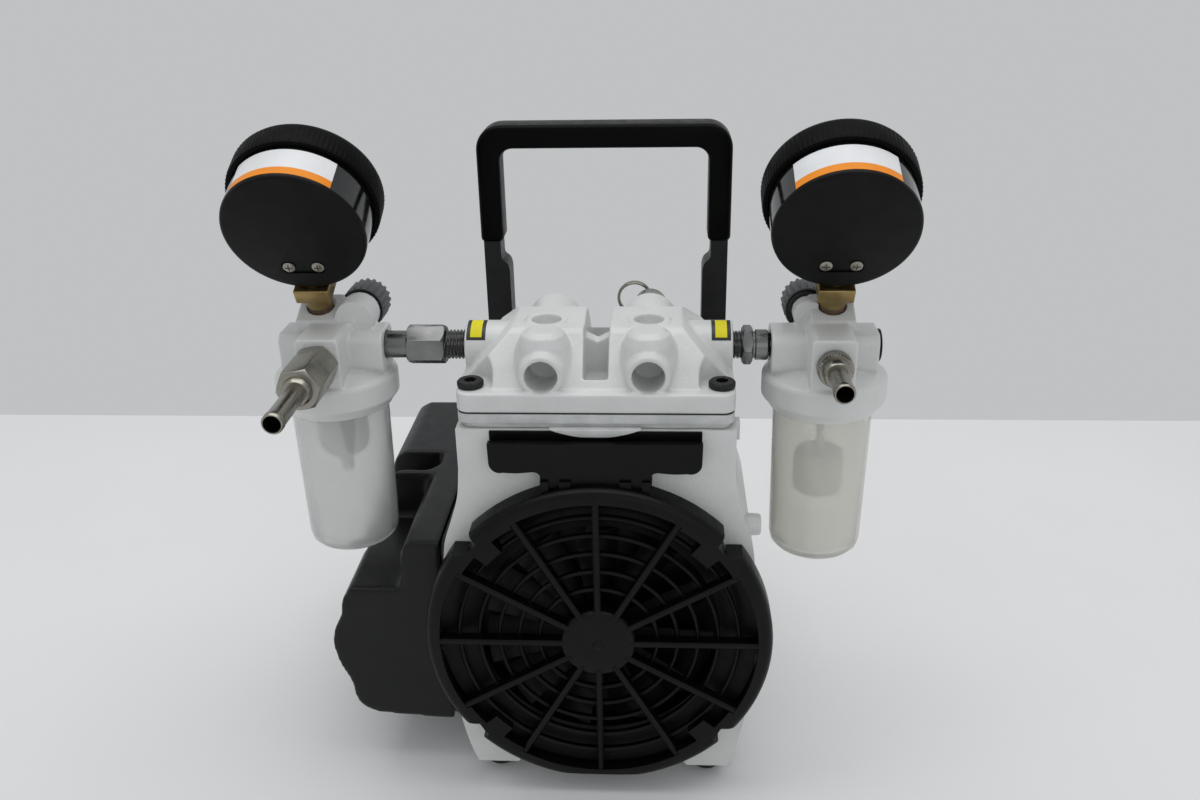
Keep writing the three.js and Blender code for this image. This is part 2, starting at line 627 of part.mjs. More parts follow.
function sideBox() {
  const shoulder = [
    [-97, BOX_STEP], [-95, 104], [-94, 120], [-92, 125], [-88, BOX_TOP + 1],
    [-140, BOX_TOP + 1], [-140, BOX_STEP],
  ];
  const scoop = [
    [-94, 97], ...arc(-104, 80, 17, 75, 170, 5), [-122, 66], [-140, 64],
    [-140, 117], [-90, 117], [-89, 104],
  ];
  const wall = 3;
  const room = cut(
    extrude(boxOutline(wall, BOX_INNER + 1), 'y', BOX_FRONT + wall, BOX_REAR - wall),
    block(-140, -91, 15, 121, 68, 140),
  );
  const cover = cut(
    extrude(boxOutline(0, BOX_INNER), 'y', BOX_FRONT, BOX_REAR),
    extrude(shoulder, 'y', BOX_FRONT - 1, 92),
    extrude(scoop, 'z', 72, BOX_TOP + 5),
    room,
    block(-120, -92, BOX_FRONT + wall, 60, 60, 97),
    block(-104.5, -83.5, BOX_REAR - 4, BOX_REAR + 1, 96, 112),
    block(-111.5, -81.5, BOX_REAR - 4, BOX_REAR + 1, 48, 72),
  );
  piece('side_box_cover', cover, 'blackPlastic');

  const plateOutline = roundedRect(BOX_FRONT + 1, BOX_REAR - 1, 27, BOX_TOP - 1, 4, 3);
  piece('side_box_plate', extrude(plateOutline, 'x', BOX_INNER + GAP, -71.6), 'blackSteel');

  const y = BOX_REAR;
  const inlet = cut(
    join(
      block(-113, -80, y + GAP, y + 2.5, 46.5, 73.5),
      block(-111, -82, y - 14, y + 2, 48.5, 71.5),
    ),
    block(-108.5, -84.5, y - 11, y + 3, 52, 68),
  );
  const pins = [-102.5, -96.5, -90.5].map((x) => block(x - 0.8, x + 0.8, y - 12, y - 2, 58, 62));
  piece('power_inlet', join(inlet, ...pins), 'blackPlastic');

  // the rocker turns about (y - 4, z = 104) and rests tipped to one side
  const rockerRest = 8;
  const rocker = extrude([
    [-1, -6], [3, -6], [7.2, -5.4], [5, 0], [7.2, 5.4], [3, 6], [-1, 6],
  ], 'x', -102, -86);
  piece('rocker_switch', moved(rocker.rotate([rockerRest, 0, 0]), 0, y - 4, 104), 'blackPlastic');
}

// ---------------------------------------------------------------- regulator, filter bowl and gauge
function regulator(side) {
  const { x, away, gaugeX, knobX, bonnetY, bowlFloor } = SIDES[side];
  const home = new THREE.Group();
  home.position.set(x, CYLINDER_Y, 0);
  pump.add(home);

  const portBore = 6.3;
  const faceReach = 25.4;                // port faces from the regulator's own axis
  const capProfile = [
    [0, 186], [24.4, 186], [25.4, 187], [28.3, 192], [28.3, 201.5], [26.5, 205], [21, 207.5], [0, 207.5],
  ];
  // the tower's top face is square to the gauge stem, which leans forward
  const tilt = THREE.MathUtils.degToRad(GAUGE_TILT);
  const towerY = GAUGE_PORT_Y - CYLINDER_Y;
  const along = (reach) => [towerY + reach * Math.cos(tilt), GAUGE_PORT_Z + reach * Math.sin(tilt)];
  const tower = [[-2.7, 206], [12, 206], along(7), along(-9.7)];
  let body = join(
    turnZ(capProfile, ROUND),
    rodX(11.2, -faceReach, faceReach, 0, PORT_Z),
    block(-9.7, 9.7, -faceReach, 4, 200, PORT_Z + 11.4),
    rodY(9, bonnetY, 14.6, knobX, KNOB_Z),
    block(Math.min(0, knobX), Math.max(0, knobX), -4, 12, 206, 226),
    extrude(tower, 'x', gaugeX - 9.7, gaugeX + 9.7),
  );
  const gaugePort = rodZ(portBore, -5.5, 1, 0, 0, SMALL).rotate([GAUGE_TILT, 0, 0]);
  body = cut(
    body,
    rodZ(23.2, 185, 199, 0, 0, ROUND),
    rodY(portBore, -faceReach - 1, -faceReach + 12, 0, PORT_Z, SMALL),
    rodX(portBore, ...span(-away, 14, 26), 0, PORT_Z, SMALL),
    rodY(4.3, 2, 15, knobX, KNOB_Z, SMALL),
    moved(gaugePort, gaugeX, towerY, GAUGE_PORT_Z),
  );
  if (away > 0) body = cut(body, rodX(portBore, 14, 26, 0, PORT_Z, SMALL));
  piece(`regulator_body_${side}`, body, 'whiteEnamel', home);

  const bowlProfile = [
    [0, bowlFloor], [17, bowlFloor], [20.6, bowlFloor + 1.8], [22, bowlFloor + 6], [22.8, 198.6],
    [20.8, 198.6], [20, bowlFloor + 8], [17, bowlFloor + 3], [0, bowlFloor + 3],
  ];
  piece(`filter_bowl_${side}`, turnZ(bowlProfile, ROUND), 'frosted', home);

  const element = join(
    rodZ(12, 184, 198.7, 0, 0, SMALL),
    extrude([[-7, 184.5], [-5, 152], [5, 152], [9, 184.5]], 'y', -1.5, 1.5),
    rodZ(3, 150, 186, 0, 0, SMALL),
  );
  piece(`filter_element_${side}`, element, 'sinter', home);

  const teeth = 20;
  const ridges = [];
  for (let i = 0; i < teeth * 2; i += 1) {
    ridges.push(polar(knobX, KNOB_Z, i % 2 ? 10.5 : 11.4, i * 180 / teeth));
  }
  const knob = join(
    cut(extrude(ridges, 'y', 13.4, 29), rodY(9.8, 13, 15.5, knobX, KNOB_Z)),
    rodY(3.4, 6, 16, knobX, KNOB_Z, SMALL),
  );
  piece(`needle_valve_knob_${side}`, knob, 'greyPlastic', home);

  hoseBarb(side, home, faceReach, portBore);
  nipple(side, home, faceReach, portBore);
  gauge(side, x + gaugeX);
}

// Hose barb that points forward, screwed into the front port.
function hoseBarb(side, home, faceReach, portBore) {
  const shank = portBore - GAP;
  const y0 = -faceReach;
  const tube = 4.6;
  const bore = 3.9;
  let barb;
  let tip;
  if (side === 'left') {
    const hexEnd = y0 - 27;
    tip = hexEnd - 36;
    barb = join(
      rodY(shank, y0 - 1, y0 + 10, 0, PORT_Z, SMALL),
      extrude(hexagon(0, PORT_Z, 17.6), 'y', hexEnd, y0 - GAP),
      rodY(6.4, hexEnd - 3, hexEnd, 0, PORT_Z, SMALL),
      rodY(tube, tip, hexEnd, 0, PORT_Z, SMALL),
    );
  } else {
    tip = y0 - 31.5;
    barb = join(
      rodY(shank, y0 - 1, y0 + 10, 0, PORT_Z, SMALL),
      rodY(7.6, y0 - 7, y0 - GAP, 0, PORT_Z),
      rodY(6.2, y0 - 12, y0 - 6.5, 0, PORT_Z),
      rodY(tube, tip, y0 - 11, 0, PORT_Z, SMALL),
    );
  }
  barb = cut(barb, rodY(bore, tip - 1, y0 + 11, 0, PORT_Z, SMALL));
  piece(`hose_barb_${side}`, barb, 'nickel', home);
}

// Threaded pipe between the head's side port and the regulator; its ends stay clear of both bores.
function nipple(side, home, faceReach, portBore) {
  const { x, away } = SIDES[side];
  const near = away * (HEAD_HALF - 9);
  const far = x - away * (faceReach - 9);
  const [from, to] = [Math.min(near, far), Math.max(near, far)];
  const shank = portBore - 0.6;
  const parts = [rodX(shank, from, to, CYLINDER_Y, PORT_Z, SMALL)];
  if (away > 0) {
    parts.push(extrude(hexagon(CYLINDER_Y, PORT_Z, 15.8), 'x', 64.8, 69.6));
    parts.push(rodX(6.6, 70.5, 76.4, CYLINDER_Y, PORT_Z));
  } else {
    parts.push(extrude(hexagon(CYLINDER_Y, PORT_Z, 16.6), 'x', -88, -70.4));
    parts.push(rodX(6.9, -70.6, -61, CYLINDER_Y, PORT_Z));
  }
  const name = away > 0 ? 'pipe_nipple_right' : 'pipe_coupling_left';
  const pipe = cut(join(...parts), rodX(3.6, from - 1, to + 1, CYLINDER_Y, PORT_Z, SMALL));
  piece(name, pipe, 'zinc');
  if (away > 0) {
    const plug = join(
      rodX(7.4, faceReach + GAP, faceReach + 1.8, 0, PORT_Z),
      rodX(shank, 16, faceReach + 1, 0, PORT_Z, SMALL),
    );
    piece('port_plug_right', plug, 'blackPlastic', home);
  }
}

// Dial gauge; its own frame has +Y towards the dial and +Z up the stem, with the origin at its centre.
function gauge(side, x) {
  const tilt = THREE.MathUtils.degToRad(GAUGE_TILT);
  const home = new THREE.Group();
  const centreY = GAUGE_PORT_Y - STEM_REACH * Math.sin(tilt);
  const centreZ = GAUGE_PORT_Z + STEM_REACH * Math.cos(tilt);
  home.position.set(x, centreY, centreZ);
  home.rotation.x = tilt;
  pump.add(home);

  const backY = -5.6;
  const rimY = 24;
  const shell = turnY([
    [0, backY], [GAUGE_RADIUS - 1.2, backY], [GAUGE_RADIUS, backY + 1.2], [GAUGE_RADIUS, rimY],
    [GAUGE_RADIUS - 1.6, rimY], [GAUGE_RADIUS - 1.6, backY + 2], [0, backY + 2],
  ], ROUND);
  const stemHole = rodZ(4.4, -40, -20, 0, 0, SMALL);
  piece(`gauge_case_${side}`, cut(shell, stemHole), 'glossBlack', home);

  const bezel = turnY([
    [BEZEL_RADIUS - 0.6, 14.6], [BEZEL_RADIUS, 15.4], [BEZEL_RADIUS, 26.8], [32.6, 28.6], [29.4, 28.6],
    [29.4, 26], [GAUGE_RADIUS + GAP, 25.6], [GAUGE_RADIUS + GAP, 14.6], [BEZEL_RADIUS - 0.6, 14.6],
  ], ROUND);
  piece(`gauge_bezel_${side}`, bezel, 'blackPlastic', home);
  piece(`gauge_lens_${side}`, rodY(31, 24.2, 25.4, 0, 0, ROUND), 'clearLens', home);

  const stem = join(
    block(-5, 5, -3.2, 6, -29, -12),
    rodZ(4, -34, -27, 0, 0, SMALL),
    rodZ(6, -44, -37, 0, 0, SMALL),
    extrude(hexagon(0, 0, 15.6), 'z', -39, -31.8),
    rodZ(5.8, -51, -43, 0, 0, SMALL),
  );
  piece(`gauge_stem_${side}`, stem, 'brass', home);

  const needle = [[-1.6, -8], [1.6, -8], [0.5, 24], [-0.5, 24]];
  const pointer = join(
    extrude(needle, 'y', 15.2, 16),
    rodY(3, 14.6, 16.8, 0, 0, SMALL),
    rodY(1.2, 8, 15, 0, 0, 8),
  );
  // seen on the dial, the vacuum gauge on the left reads back from the lower right
  const restTurn = side === 'left' ? -135 : 135;
  piece(`gauge_pointer_${side}`, pointer.rotate([0, restTurn, 0]), 'pointerBlack', home);
}

crankcase();
feet();
fanGuard();
crankTrain();
motor();
cylinder();
valvePlate();
cylinderHead();
reliefValve();
handle();
sideBox();
regulator('right');
regulator('left');

const extent = new THREE.Box3().setFromObject(pump, true);
const middle = extent.getCenter(new THREE.Vector3());
pump.position.set(-middle.x, -middle.y, -extent.min.z);
pump.updateMatrixWorld(true);

export default pump;
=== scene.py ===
"""Looks of an oil-free piston vacuum pump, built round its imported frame.

Shapes are drawn in millimetres in the pump's design frame: x = 0 on the crank axis, y = 0 on the
front face of the fan guard, z = 0 on the floor and +Y towards the rear. show() moves a finished
shape into the row frame, in metres, and says what it rides on and what it stands for.
"""
import json
from math import cos, hypot, radians, sin, sqrt, tau

import bmesh
import bpy
from mathutils import Matrix, Vector


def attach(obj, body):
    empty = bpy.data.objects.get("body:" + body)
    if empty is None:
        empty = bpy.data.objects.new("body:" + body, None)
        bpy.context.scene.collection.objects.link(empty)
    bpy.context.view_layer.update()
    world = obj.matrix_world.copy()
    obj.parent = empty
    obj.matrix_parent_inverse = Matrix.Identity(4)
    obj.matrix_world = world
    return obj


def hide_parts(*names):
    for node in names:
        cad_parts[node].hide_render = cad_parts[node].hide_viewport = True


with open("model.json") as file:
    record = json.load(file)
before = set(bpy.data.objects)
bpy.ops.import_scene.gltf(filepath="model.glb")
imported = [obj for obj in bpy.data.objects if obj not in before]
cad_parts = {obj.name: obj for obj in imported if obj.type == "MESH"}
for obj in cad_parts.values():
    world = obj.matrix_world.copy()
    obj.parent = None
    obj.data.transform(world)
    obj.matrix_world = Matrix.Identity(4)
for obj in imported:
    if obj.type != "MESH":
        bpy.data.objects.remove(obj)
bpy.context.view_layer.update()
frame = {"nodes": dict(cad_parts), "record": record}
scene = bpy.context.scene
JOINTS = {joint["name"]: joint for joint in frame["record"]["behaviour"]["joints"]}

# ---- driving dimensions, mm
CRANK_Z = 88
CYLINDER_Y = 55
CASE_FRONT, CASE_REAR = 13.3, 97
DECK_Z = 191
GUARD_RADIUS = 80
GUARD_MOUTH = 73.2
GUARD_HUB = 17.4
RING_RADII = [27.2 + 9.32 * k for k in range(5)]
MOTOR_RADIUS = 56
MOTOR_REAR, BELL_REAR, COVER_REAR = 150, 170, 192
HEAD_BASE, FLANGE_TOP, HEAD_TOP = 198.7, 207.5, 228.5
HEAD_HALF, HEAD_FRONT, HEAD_REAR = 60.5, 13.2, 96.8
PORT_Z = 214.6
PORT_SPREAD = 23
SCREW_X, SCREW_INSET = 54.6, 9.4
HANDLE_Y, HANDLE_HALF, HANDLE_TOP = 130, 61.5, 302
BOX_INNER, BOX_FRONT, BOX_REAR, BOX_TOP, BOX_STEP = -74.6, 22, 185, 128, 102
GAUGE_TILT = 25.7
GAUGE_RADIUS, BEZEL_RADIUS = 31.2, 34
STEM_REACH, GAUGE_PORT_Y, GAUGE_PORT_Z = 47, 61, 231.6
KNOB_Z = 227
PORT_REACH = 25.4
OUTER_REACH = 22
BOSS_Z, BOSS_BORE = 214.4, 7.1
FEED_Y, FEED_BORE = 48.5, 6.6
FAN_BLADES = 11
FRONT_FAN = (8, 20, 53)
REAR_FAN = (174, 186, 46)
DIAL_ZERO, DIAL_SWEEP, DIAL_TICKS, DIAL_NUMBERS = 135, 270, 30, 6
KNOB_TEETH, BEZEL_TEETH = 20, 96
SIDES = {
    "right": {"x": 103, "away": 1, "gauge_x": 2.3, "knob_x": -8, "bonnet_y": 11.2, "floor": 112.5},
    "left": {"x": -123.5, "away": -1, "gauge_x": -5.5, "knob_x": 11.5, "bonnet_y": -2, "floor": 114.5},
}

ORIGIN = Vector(JOINTS["crank_spin"]["pos_m"]) - Vector((0, CYLINDER_Y, CRANK_Z)) / 1000
TO_ROW = Matrix.Translation(ORIGIN) @ Matrix.Scale(0.001, 4)


# ---- outlines
def polar(u, v, radius, degrees):
    angle = radians(degrees)
    return (u + radius * cos(angle), v + radius * sin(angle))


def arc(u, v, radius, start, end, steps=8):
    return [polar(u, v, radius, start + (end - start) * i / steps) for i in range(steps + 1)]


def circle(u, v, radius, sides=64):
    return arc(u, v, radius, 0, 360, sides)[:-1]


def rounded(u0, u1, v0, v1, radius, steps=6):
    return (
        arc(u1 - radius, v0 + radius, radius, -90, 0, steps)
        + arc(u1 - radius, v1 - radius, radius, 0, 90, steps)
        + arc(u0 + radius, v1 - radius, radius, 90, 180, steps)
        + arc(u0 + radius, v0 + radius, radius, 180, 270, steps)
    )


def flowing(points, steps=6):
    """A smooth line through the points."""
    ends = [points[0]] + list(points) + [points[-1]]
    line = []
    for a, b, c, d in zip(ends, ends[1:], ends[2:], ends[3:]):
        for i in range(steps):
            t = i / steps
            line.append(tuple(
                0.5 * (2 * q + (r - p) * t + (2 * p - 5 * q + 4 * r - s) * t * t
                       + (3 * q - p - 3 * r + s) * t ** 3)
                for p, q, r, s in zip(a, b, c, d)))
    return line + [points[-1]]


# ---- solids
def from_axis(axis, u, v, along):
    return {"x": (along, u, v), "y": (u, along, v), "z": (u, v, along)}[axis]


def linked(name, data):
    thing = bpy.data.objects.new(name, data)
    scene.collection.objects.link(thing)
    return thing


def new_shape(mesh_code):
    bmesh.ops.recalc_face_normals(mesh_code, faces=mesh_code.faces)
    mesh = bpy.data.meshes.new("shape")
    mesh_code.to_mesh(mesh)
    mesh_code.free()
    return linked("shape", mesh)


def skin(rows):
    """A closed solid through rows of points that run round it."""
    code = bmesh.new()
    rings = [[code.verts.new(point) for point in row] for row in rows]
    for low, high in zip(rings, rings[1:]):
        for i in range(len(low)):
            j = (i + 1) % len(low)
            code.faces.new((low[i], low[j], high[j], high[i]))
    code.faces.new(rings[0])
    code.faces.new(rings[-1])
    return new_shape(code)


def prism(axis, low, high, points):
    return skin([[from_axis(axis, u, v, along) for u, v in points] for along in (low, high)])


def block(x0, x1, y0, y1, z0, z1):
    return prism("z", z0, z1, [(x0, y0), (x1, y0), (x1, y1), (x0, y1)])


def rod(axis, low, high, u, v, radius, sides=64):
    return prism(axis, low, high, circle(u, v, radius, sides))


def turned(axis, u, v, profile, sides=72, ripple=None):
    """A turned solid. The profile is a list of (radius, place along the axis); one that starts and
    ends on the axis is solid, any other is a ring. ripple(share of a turn, row) adds to the radius."""
    code = bmesh.new()
    rows = []
    for index, (radius, along) in enumerate(profile):
        if radius == 0:
            rows.append([code.verts.new(from_axis(axis, u, v, along))])
            continue
        row = []
        for k in range(sides):
            reach = radius + (ripple(k / sides, index) if ripple else 0)
            row.append(code.verts.new(from_axis(axis, *polar(u, v, reach, 360 * k / sides), along)))
        rows.append(row)
    pairs = list(zip(rows, rows[1:]))
    if len(rows[0]) > 1:
        pairs.append((rows[-1], rows[0]))
    for low, high in pairs:
        for k in range(sides):
            j = (k + 1) % sides
            if len(low) == 1:
                code.faces.new((low[0], high[k], high[j]))
            elif len(high) == 1:
                code.faces.new((low[k], low[j], high[0]))
            else:
                code.faces.new((low[k], low[j], high[j], high[k]))
    return new_shape(code)


def shaft(low, high, radius, sides=64):
    return rod("y", low, high, 0, CRANK_Z, radius, sides)


def wheel(profile, sides=72):
    return turned("y", 0, CRANK_Z, profile, sides)


def span(side, near, far):
    """The low and high ends of a stretch on the side +1 or -1."""
    return sorted((side * near, side * far))


def final_mesh(shape):
    bpy.context.view_layer.update()
    graph = bpy.context.evaluated_depsgraph_get()
    return bpy.data.meshes.new_from_object(shape.evaluated_get(graph))


def bake(shape):
    mesh = final_mesh(shape)
    old = shape.data
    shape.modifiers.clear()
    shape.data = mesh
    bpy.data.meshes.remove(old)
    return shape


def discard(shape):
    mesh = shape.data
    bpy.data.objects.remove(shape)
    bpy.data.meshes.remove(mesh)


def combine(operation, base, others):
    for other in others:
        change = base.modifiers.new("combine", "BOOLEAN")
        change.operation = operation
        change.solver = "MANIFOLD"
        change.object = other
    bake(base)
    for other in others:
        discard(other)
    return base


def fuse(base, *others):
    return combine("UNION", base, others)


def carve(base, *tools):
    return combine("DIFFERENCE", base, tools)


def overlap(base, *others):
    return combine("INTERSECT", base, others)


def eased(shape, width, segments=3, angle=32):
    """Rounds the edges that are sharper than the angle."""
    change = shape.modifiers.new("ease", "BEVEL")
    change.width = width
    change.segments = segments
    change.limit_method = "ANGLE"
    change.angle_limit = radians(angle)
    change.use_clamp_overlap = True
    return bake(shape)


def cast(shape, voxel, passes, keep):
    """Gives a solid the soft edges of a casting or a thick moulding."""
    remesh = shape.modifiers.new("voxels", "REMESH")
    remesh.mode = "VOXEL"
    remesh.voxel_size = voxel
    smooth = shape.modifiers.new("soften", "SMOOTH")
    smooth.factor = 0.5
    smooth.iterations = passes
    thin = shape.modifiers.new("thin", "DECIMATE")
    thin.ratio = keep
    return bake(shape)


def moved(shape, x=0, y=0, z=0, turn=0, about="Y"):
    shape.data.transform(Matrix.Translation((x, y, z)) @ Matrix.Rotation(radians(turn), 4, about))
    return shape


def hex_nut(axis, low, high, u, v, flats, chamfer=0.9, start=0):
    corner = flats / sqrt(3)
    body = prism(axis, low, high, [polar(u, v, corner, start + 60 * k) for k in range(6)])
    cone = turned(axis, u, v, [
        (0, low), (flats / 2 - 0.2, low), (corner + 0.3, low + chamfer + 0.4),
        (corner + 0.3, high - chamfer - 0.4), (flats / 2 - 0.2, high), (0, high)])
    return eased(overlap(body, cone), 0.18, 2)


def thread(axis, low, high, u, v, major, pitch=1.41, depth=0.8, sides=40):
    """A rod with a helical thread that fades out at both ends."""
    rows = []
    count = max(8, round((high - low) / pitch * 6))
    for i in range(count + 1):
        along = low + (high - low) * i / count
        fade = min(1, i / 5, (count - i) / 5)
        row = []
        for k in range(sides):
            phase = ((along - low) / pitch - k / sides) % 1
            ridge = 1 - abs(2 * phase - 1)
            reach = major - depth * (1 - ridge * fade)
            row.append(from_axis(axis, *polar(u, v, reach, 360 * k / sides), along))
        rows.append(row)
    return skin(rows)


def patch(axis, low, high, u, v, radius, thickness, start, end, steps=24):
    """A thin curved sheet, such as a label, lying on a cylinder."""
    outside = arc(u, v, radius + thickness, start, end, steps)
    inside = arc(u, v, radius, end, start, steps)
    return prism(axis, low, high, outside + inside)


def gathered(first, *others):
    """Several closed solids in one piece."""
    code = bmesh.new()
    for shape in (first, *others):
        code.from_mesh(shape.data)
        if shape is not first:
            discard(shape)
    code.to_mesh(first.data)
    code.free()
    return first


def show(shape, name, paint, stands_for=(), body="pump_body", place=None, sharp=35):
    """Places a finished shape in the row frame and says what it rides on and stands for."""
    mesh = shape.data
    mesh.transform(TO_ROW @ (place or Matrix.Identity(4)))
    mesh.shade_smooth()
    mesh.set_sharp_from_angle(angle=radians(sharp))
    mesh.materials.clear()
    mesh.materials.append(PAINT[paint])
    mesh.name = name
    shape.name = name
    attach(shape, body)
    if stands_for:
        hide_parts(*stands_for)


# ---- materials
def surface(name, dark, light, rough, metallic=0.0, mottle=70, grain=1400, bump=0.2, depth=0.00008,
            stretch=(1, 1, 1), **sockets):
    """A shader whose colour, roughness and fine relief all vary over the surface."""
    material = bpy.data.materials.new(name)
    material.use_nodes = True
    nodes, links = material.node_tree.nodes, material.node_tree.links
    shader = nodes["Principled BSDF"]
    shader.inputs["Metallic"].default_value = metallic
    for socket, value in sockets.items():
        shader.inputs[socket.replace("_", " ")].default_value = value
    coordinates = nodes.new("ShaderNodeTexCoord")
    mapping = nodes.new("ShaderNodeMapping")
    mapping.inputs["Scale"].default_value = stretch
    links.new(coordinates.outputs["Object"], mapping.inputs["Vector"])

    def noise(scale, detail, low, high):
        texture = nodes.new("ShaderNodeTexNoise")
        texture.inputs["Scale"].default_value = scale
        texture.inputs["Detail"].default_value = detail
        links.new(mapping.outputs["Vector"], texture.inputs["Vector"])
        spread = nodes.new("ShaderNodeMapRange")
        spread.inputs["From Min"].default_value = 0.3
        spread.inputs["From Max"].default_value = 0.7
        spread.inputs["To Min"].default_value = low
        spread.inputs["To Max"].default_value = high
        links.new(texture.outputs["Fac"], spread.inputs["Value"])
        return spread.outputs["Result"]

    colour = nodes.new("ShaderNodeMix")
    colour.data_type = "RGBA"
    colour.inputs[6].default_value = (*dark, 1)
    colour.inputs[7].default_value = (*light, 1)
    links.new(noise(mottle, 5, 0, 1), colour.inputs[0])
    links.new(colour.outputs[2], shader.inputs["Base Color"])
    links.new(noise(mottle * 4, 3, *rough), shader.inputs["Roughness"])
    relief = nodes.new("ShaderNodeBump")
    relief.inputs["Strength"].default_value = bump
    relief.inputs["Distance"].default_value = depth
    links.new(noise(grain, 2, 0, 1), relief.inputs["Height"])
    links.new(relief.outputs["Normal"], shader.inputs["Normal"])
    return material


def printed(name, dark, light, rough=(0.3, 0.42), **sockets):
    return surface(name, dark, light, rough, mottle=90, grain=700, bump=0.15, **sockets)


PAINT = {
    "enamel": surface("white_enamel", (0.61, 0.62, 0.61), (0.68, 0.69, 0.68), (0.3, 0.42),
        mottle=45, grain=650, bump=0.3, depth=0.00022, Coat_Weight=0.12),
    "plate": surface("cast_plate", (0.50, 0.51, 0.505), (0.62, 0.63, 0.62), (0.38, 0.55),
        mottle=120, grain=900, bump=0.4, depth=0.0002),
    "moulded": surface("black_moulded", (0.0013, 0.0013, 0.0014), (0.0034, 0.0034, 0.0036), (0.3, 0.4),
        mottle=60, grain=2200, bump=0.25, depth=0.00006, Specular_IOR_Level=0.17),
    "grip": surface("handle_plastic", (0.0004, 0.0004, 0.0004), (0.0012, 0.0012, 0.0013), (0.3, 0.42),
        mottle=60, grain=2200, bump=0.2, depth=0.00006, Specular_IOR_Level=0.07),
    "box": surface("black_box_grain", (0.0026, 0.0027, 0.003), (0.0055, 0.0057, 0.0061), (0.32, 0.42),
        mottle=50, grain=1600, bump=0.4, depth=0.0001, Specular_IOR_Level=0.27),
    "blade": surface("fan_plastic", (0.0015, 0.0015, 0.0015), (0.004, 0.004, 0.004), (0.4, 0.55),
        grain=1500, bump=0.2, Specular_IOR_Level=0.16),
    "gloss": surface("gauge_gloss", (0.002, 0.002, 0.0022), (0.004, 0.004, 0.0043), (0.08, 0.16),
        grain=900, bump=0.06, depth=0.00004, Coat_Weight=0.3),
    "matt_back": surface("gauge_matt", (0.002, 0.002, 0.0022), (0.005, 0.005, 0.0053), (0.36, 0.48),
        mottle=120, grain=3000, bump=0.3, depth=0.00005, Specular_IOR_Level=0.15),
    "bezel": surface("bezel_plastic", (0.0008, 0.0008, 0.0009), (0.0022, 0.0022, 0.0023), (0.36, 0.5),
        mottle=90, grain=2400, bump=0.2, depth=0.00005, Specular_IOR_Level=0.06),
    "grey": surface("knob_grey", (0.05, 0.051, 0.053), (0.085, 0.087, 0.09), (0.4, 0.52),
        grain=2400, bump=0.25, depth=0.00006),
    "zinc": surface("zinc_plate", (0.15, 0.15, 0.15), (0.24, 0.24, 0.24), (0.22, 0.32), 1.0,
        mottle=70, grain=1200, bump=0.05),
    "nickel": surface("dull_nickel", (0.27, 0.26, 0.225), (0.35, 0.335, 0.29), (0.24, 0.32), 1.0,
        mottle=40, grain=900, bump=0.03),
    "brass": surface("aged_brass", (0.26, 0.18, 0.07), (0.42, 0.31, 0.14), (0.3, 0.45), 1.0,
        mottle=120, grain=1500, bump=0.12),
    "steel": surface("ground_steel", (0.30, 0.31, 0.32), (0.46, 0.47, 0.48), (0.25, 0.4), 1.0,
        mottle=150, grain=2000, bump=0.15, stretch=(1, 6, 1)),
    "dark_steel": surface("black_steel", (0.006, 0.006, 0.0065), (0.014, 0.014, 0.015), (0.34, 0.46),
        mottle=90, grain=1800, bump=0.25, Specular_IOR_Level=0.3),
    "alloy": surface("turned_alloy", (0.48, 0.49, 0.50), (0.62, 0.63, 0.64), (0.3, 0.45), 1.0,
        mottle=110, grain=1600, bump=0.2),
    "rubber": surface("black_rubber", (0.008, 0.008, 0.008), (0.016, 0.016, 0.016), (0.62, 0.78),
        mottle=100, grain=1500, bump=0.35),
    "rust": surface("primer_line", (0.10, 0.045, 0.03), (0.17, 0.08, 0.05), (0.6, 0.8),
        mottle=200, grain=1500, bump=0.3),
    "sinter": surface("porous_filter", (0.74, 0.73, 0.67), (0.86, 0.85, 0.79), (0.7, 0.9),
        mottle=300, grain=2600, bump=0.8, depth=0.0002),
    "fin": surface("baffle_grey", (0.03, 0.032, 0.036), (0.05, 0.053, 0.058), (0.5, 0.65),
        grain=1500, bump=0.2),
    "bowl": surface("frosted_warm", (0.95, 0.945, 0.885), (0.98, 0.975, 0.93), (0.14, 0.2),
        mottle=30, grain=300, bump=0.01, Transmission_Weight=0.68, IOR=1.35),
    "bowl_white": surface("frosted_cool", (0.93, 0.935, 0.93), (0.97, 0.975, 0.97), (0.14, 0.2),
        mottle=30, grain=300, bump=0.01, Transmission_Weight=0.72, IOR=1.35),
    "lens": surface("clear_window", (0.96, 0.97, 0.97), (1.0, 1.0, 1.0), (0.02, 0.06),
        grain=300, bump=0.02, Transmission_Weight=1.0, IOR=1.3),
    "dial": surface("dial_white", (0.78, 0.78, 0.77), (0.84, 0.84, 0.83), (0.45, 0.55), grain=800,
        bump=0.1),
    "ink": surface("printed_black", (0.01, 0.01, 0.01), (0.02, 0.02, 0.02), (0.4, 0.5), grain=800,
        bump=0.1),
    "label": printed("label_white", (0.70, 0.71, 0.72), (0.77, 0.78, 0.79)),
    "orange": printed("label_orange", (0.80, 0.24, 0.012), (0.88, 0.29, 0.016), Specular_IOR_Level=0.2),
    "yellow": printed("label_yellow", (0.70, 0.62, 0.01), (0.80, 0.71, 0.02), (0.32, 0.45),
        Specular_IOR_Level=0.2),
    "sealant": surface("thread_sealant", (0.07, 0.04, 0.02), (0.14, 0.08, 0.04), (0.5, 0.7),
        mottle=400, grain=1800, bump=0.6, depth=0.0002),
    "bearing": surface("bearing_steel", (0.42, 0.43, 0.44), (0.55, 0.56, 0.57), (0.15, 0.28), 1.0,
        grain=1500, bump=0.1),
    "laminate": surface("stator_stack", (0.07, 0.072, 0.075), (0.14, 0.143, 0.148), (0.4, 0.6), 0.9,
        mottle=150, grain=900, bump=0.5, stretch=(0.1, 1, 0.1)),
}


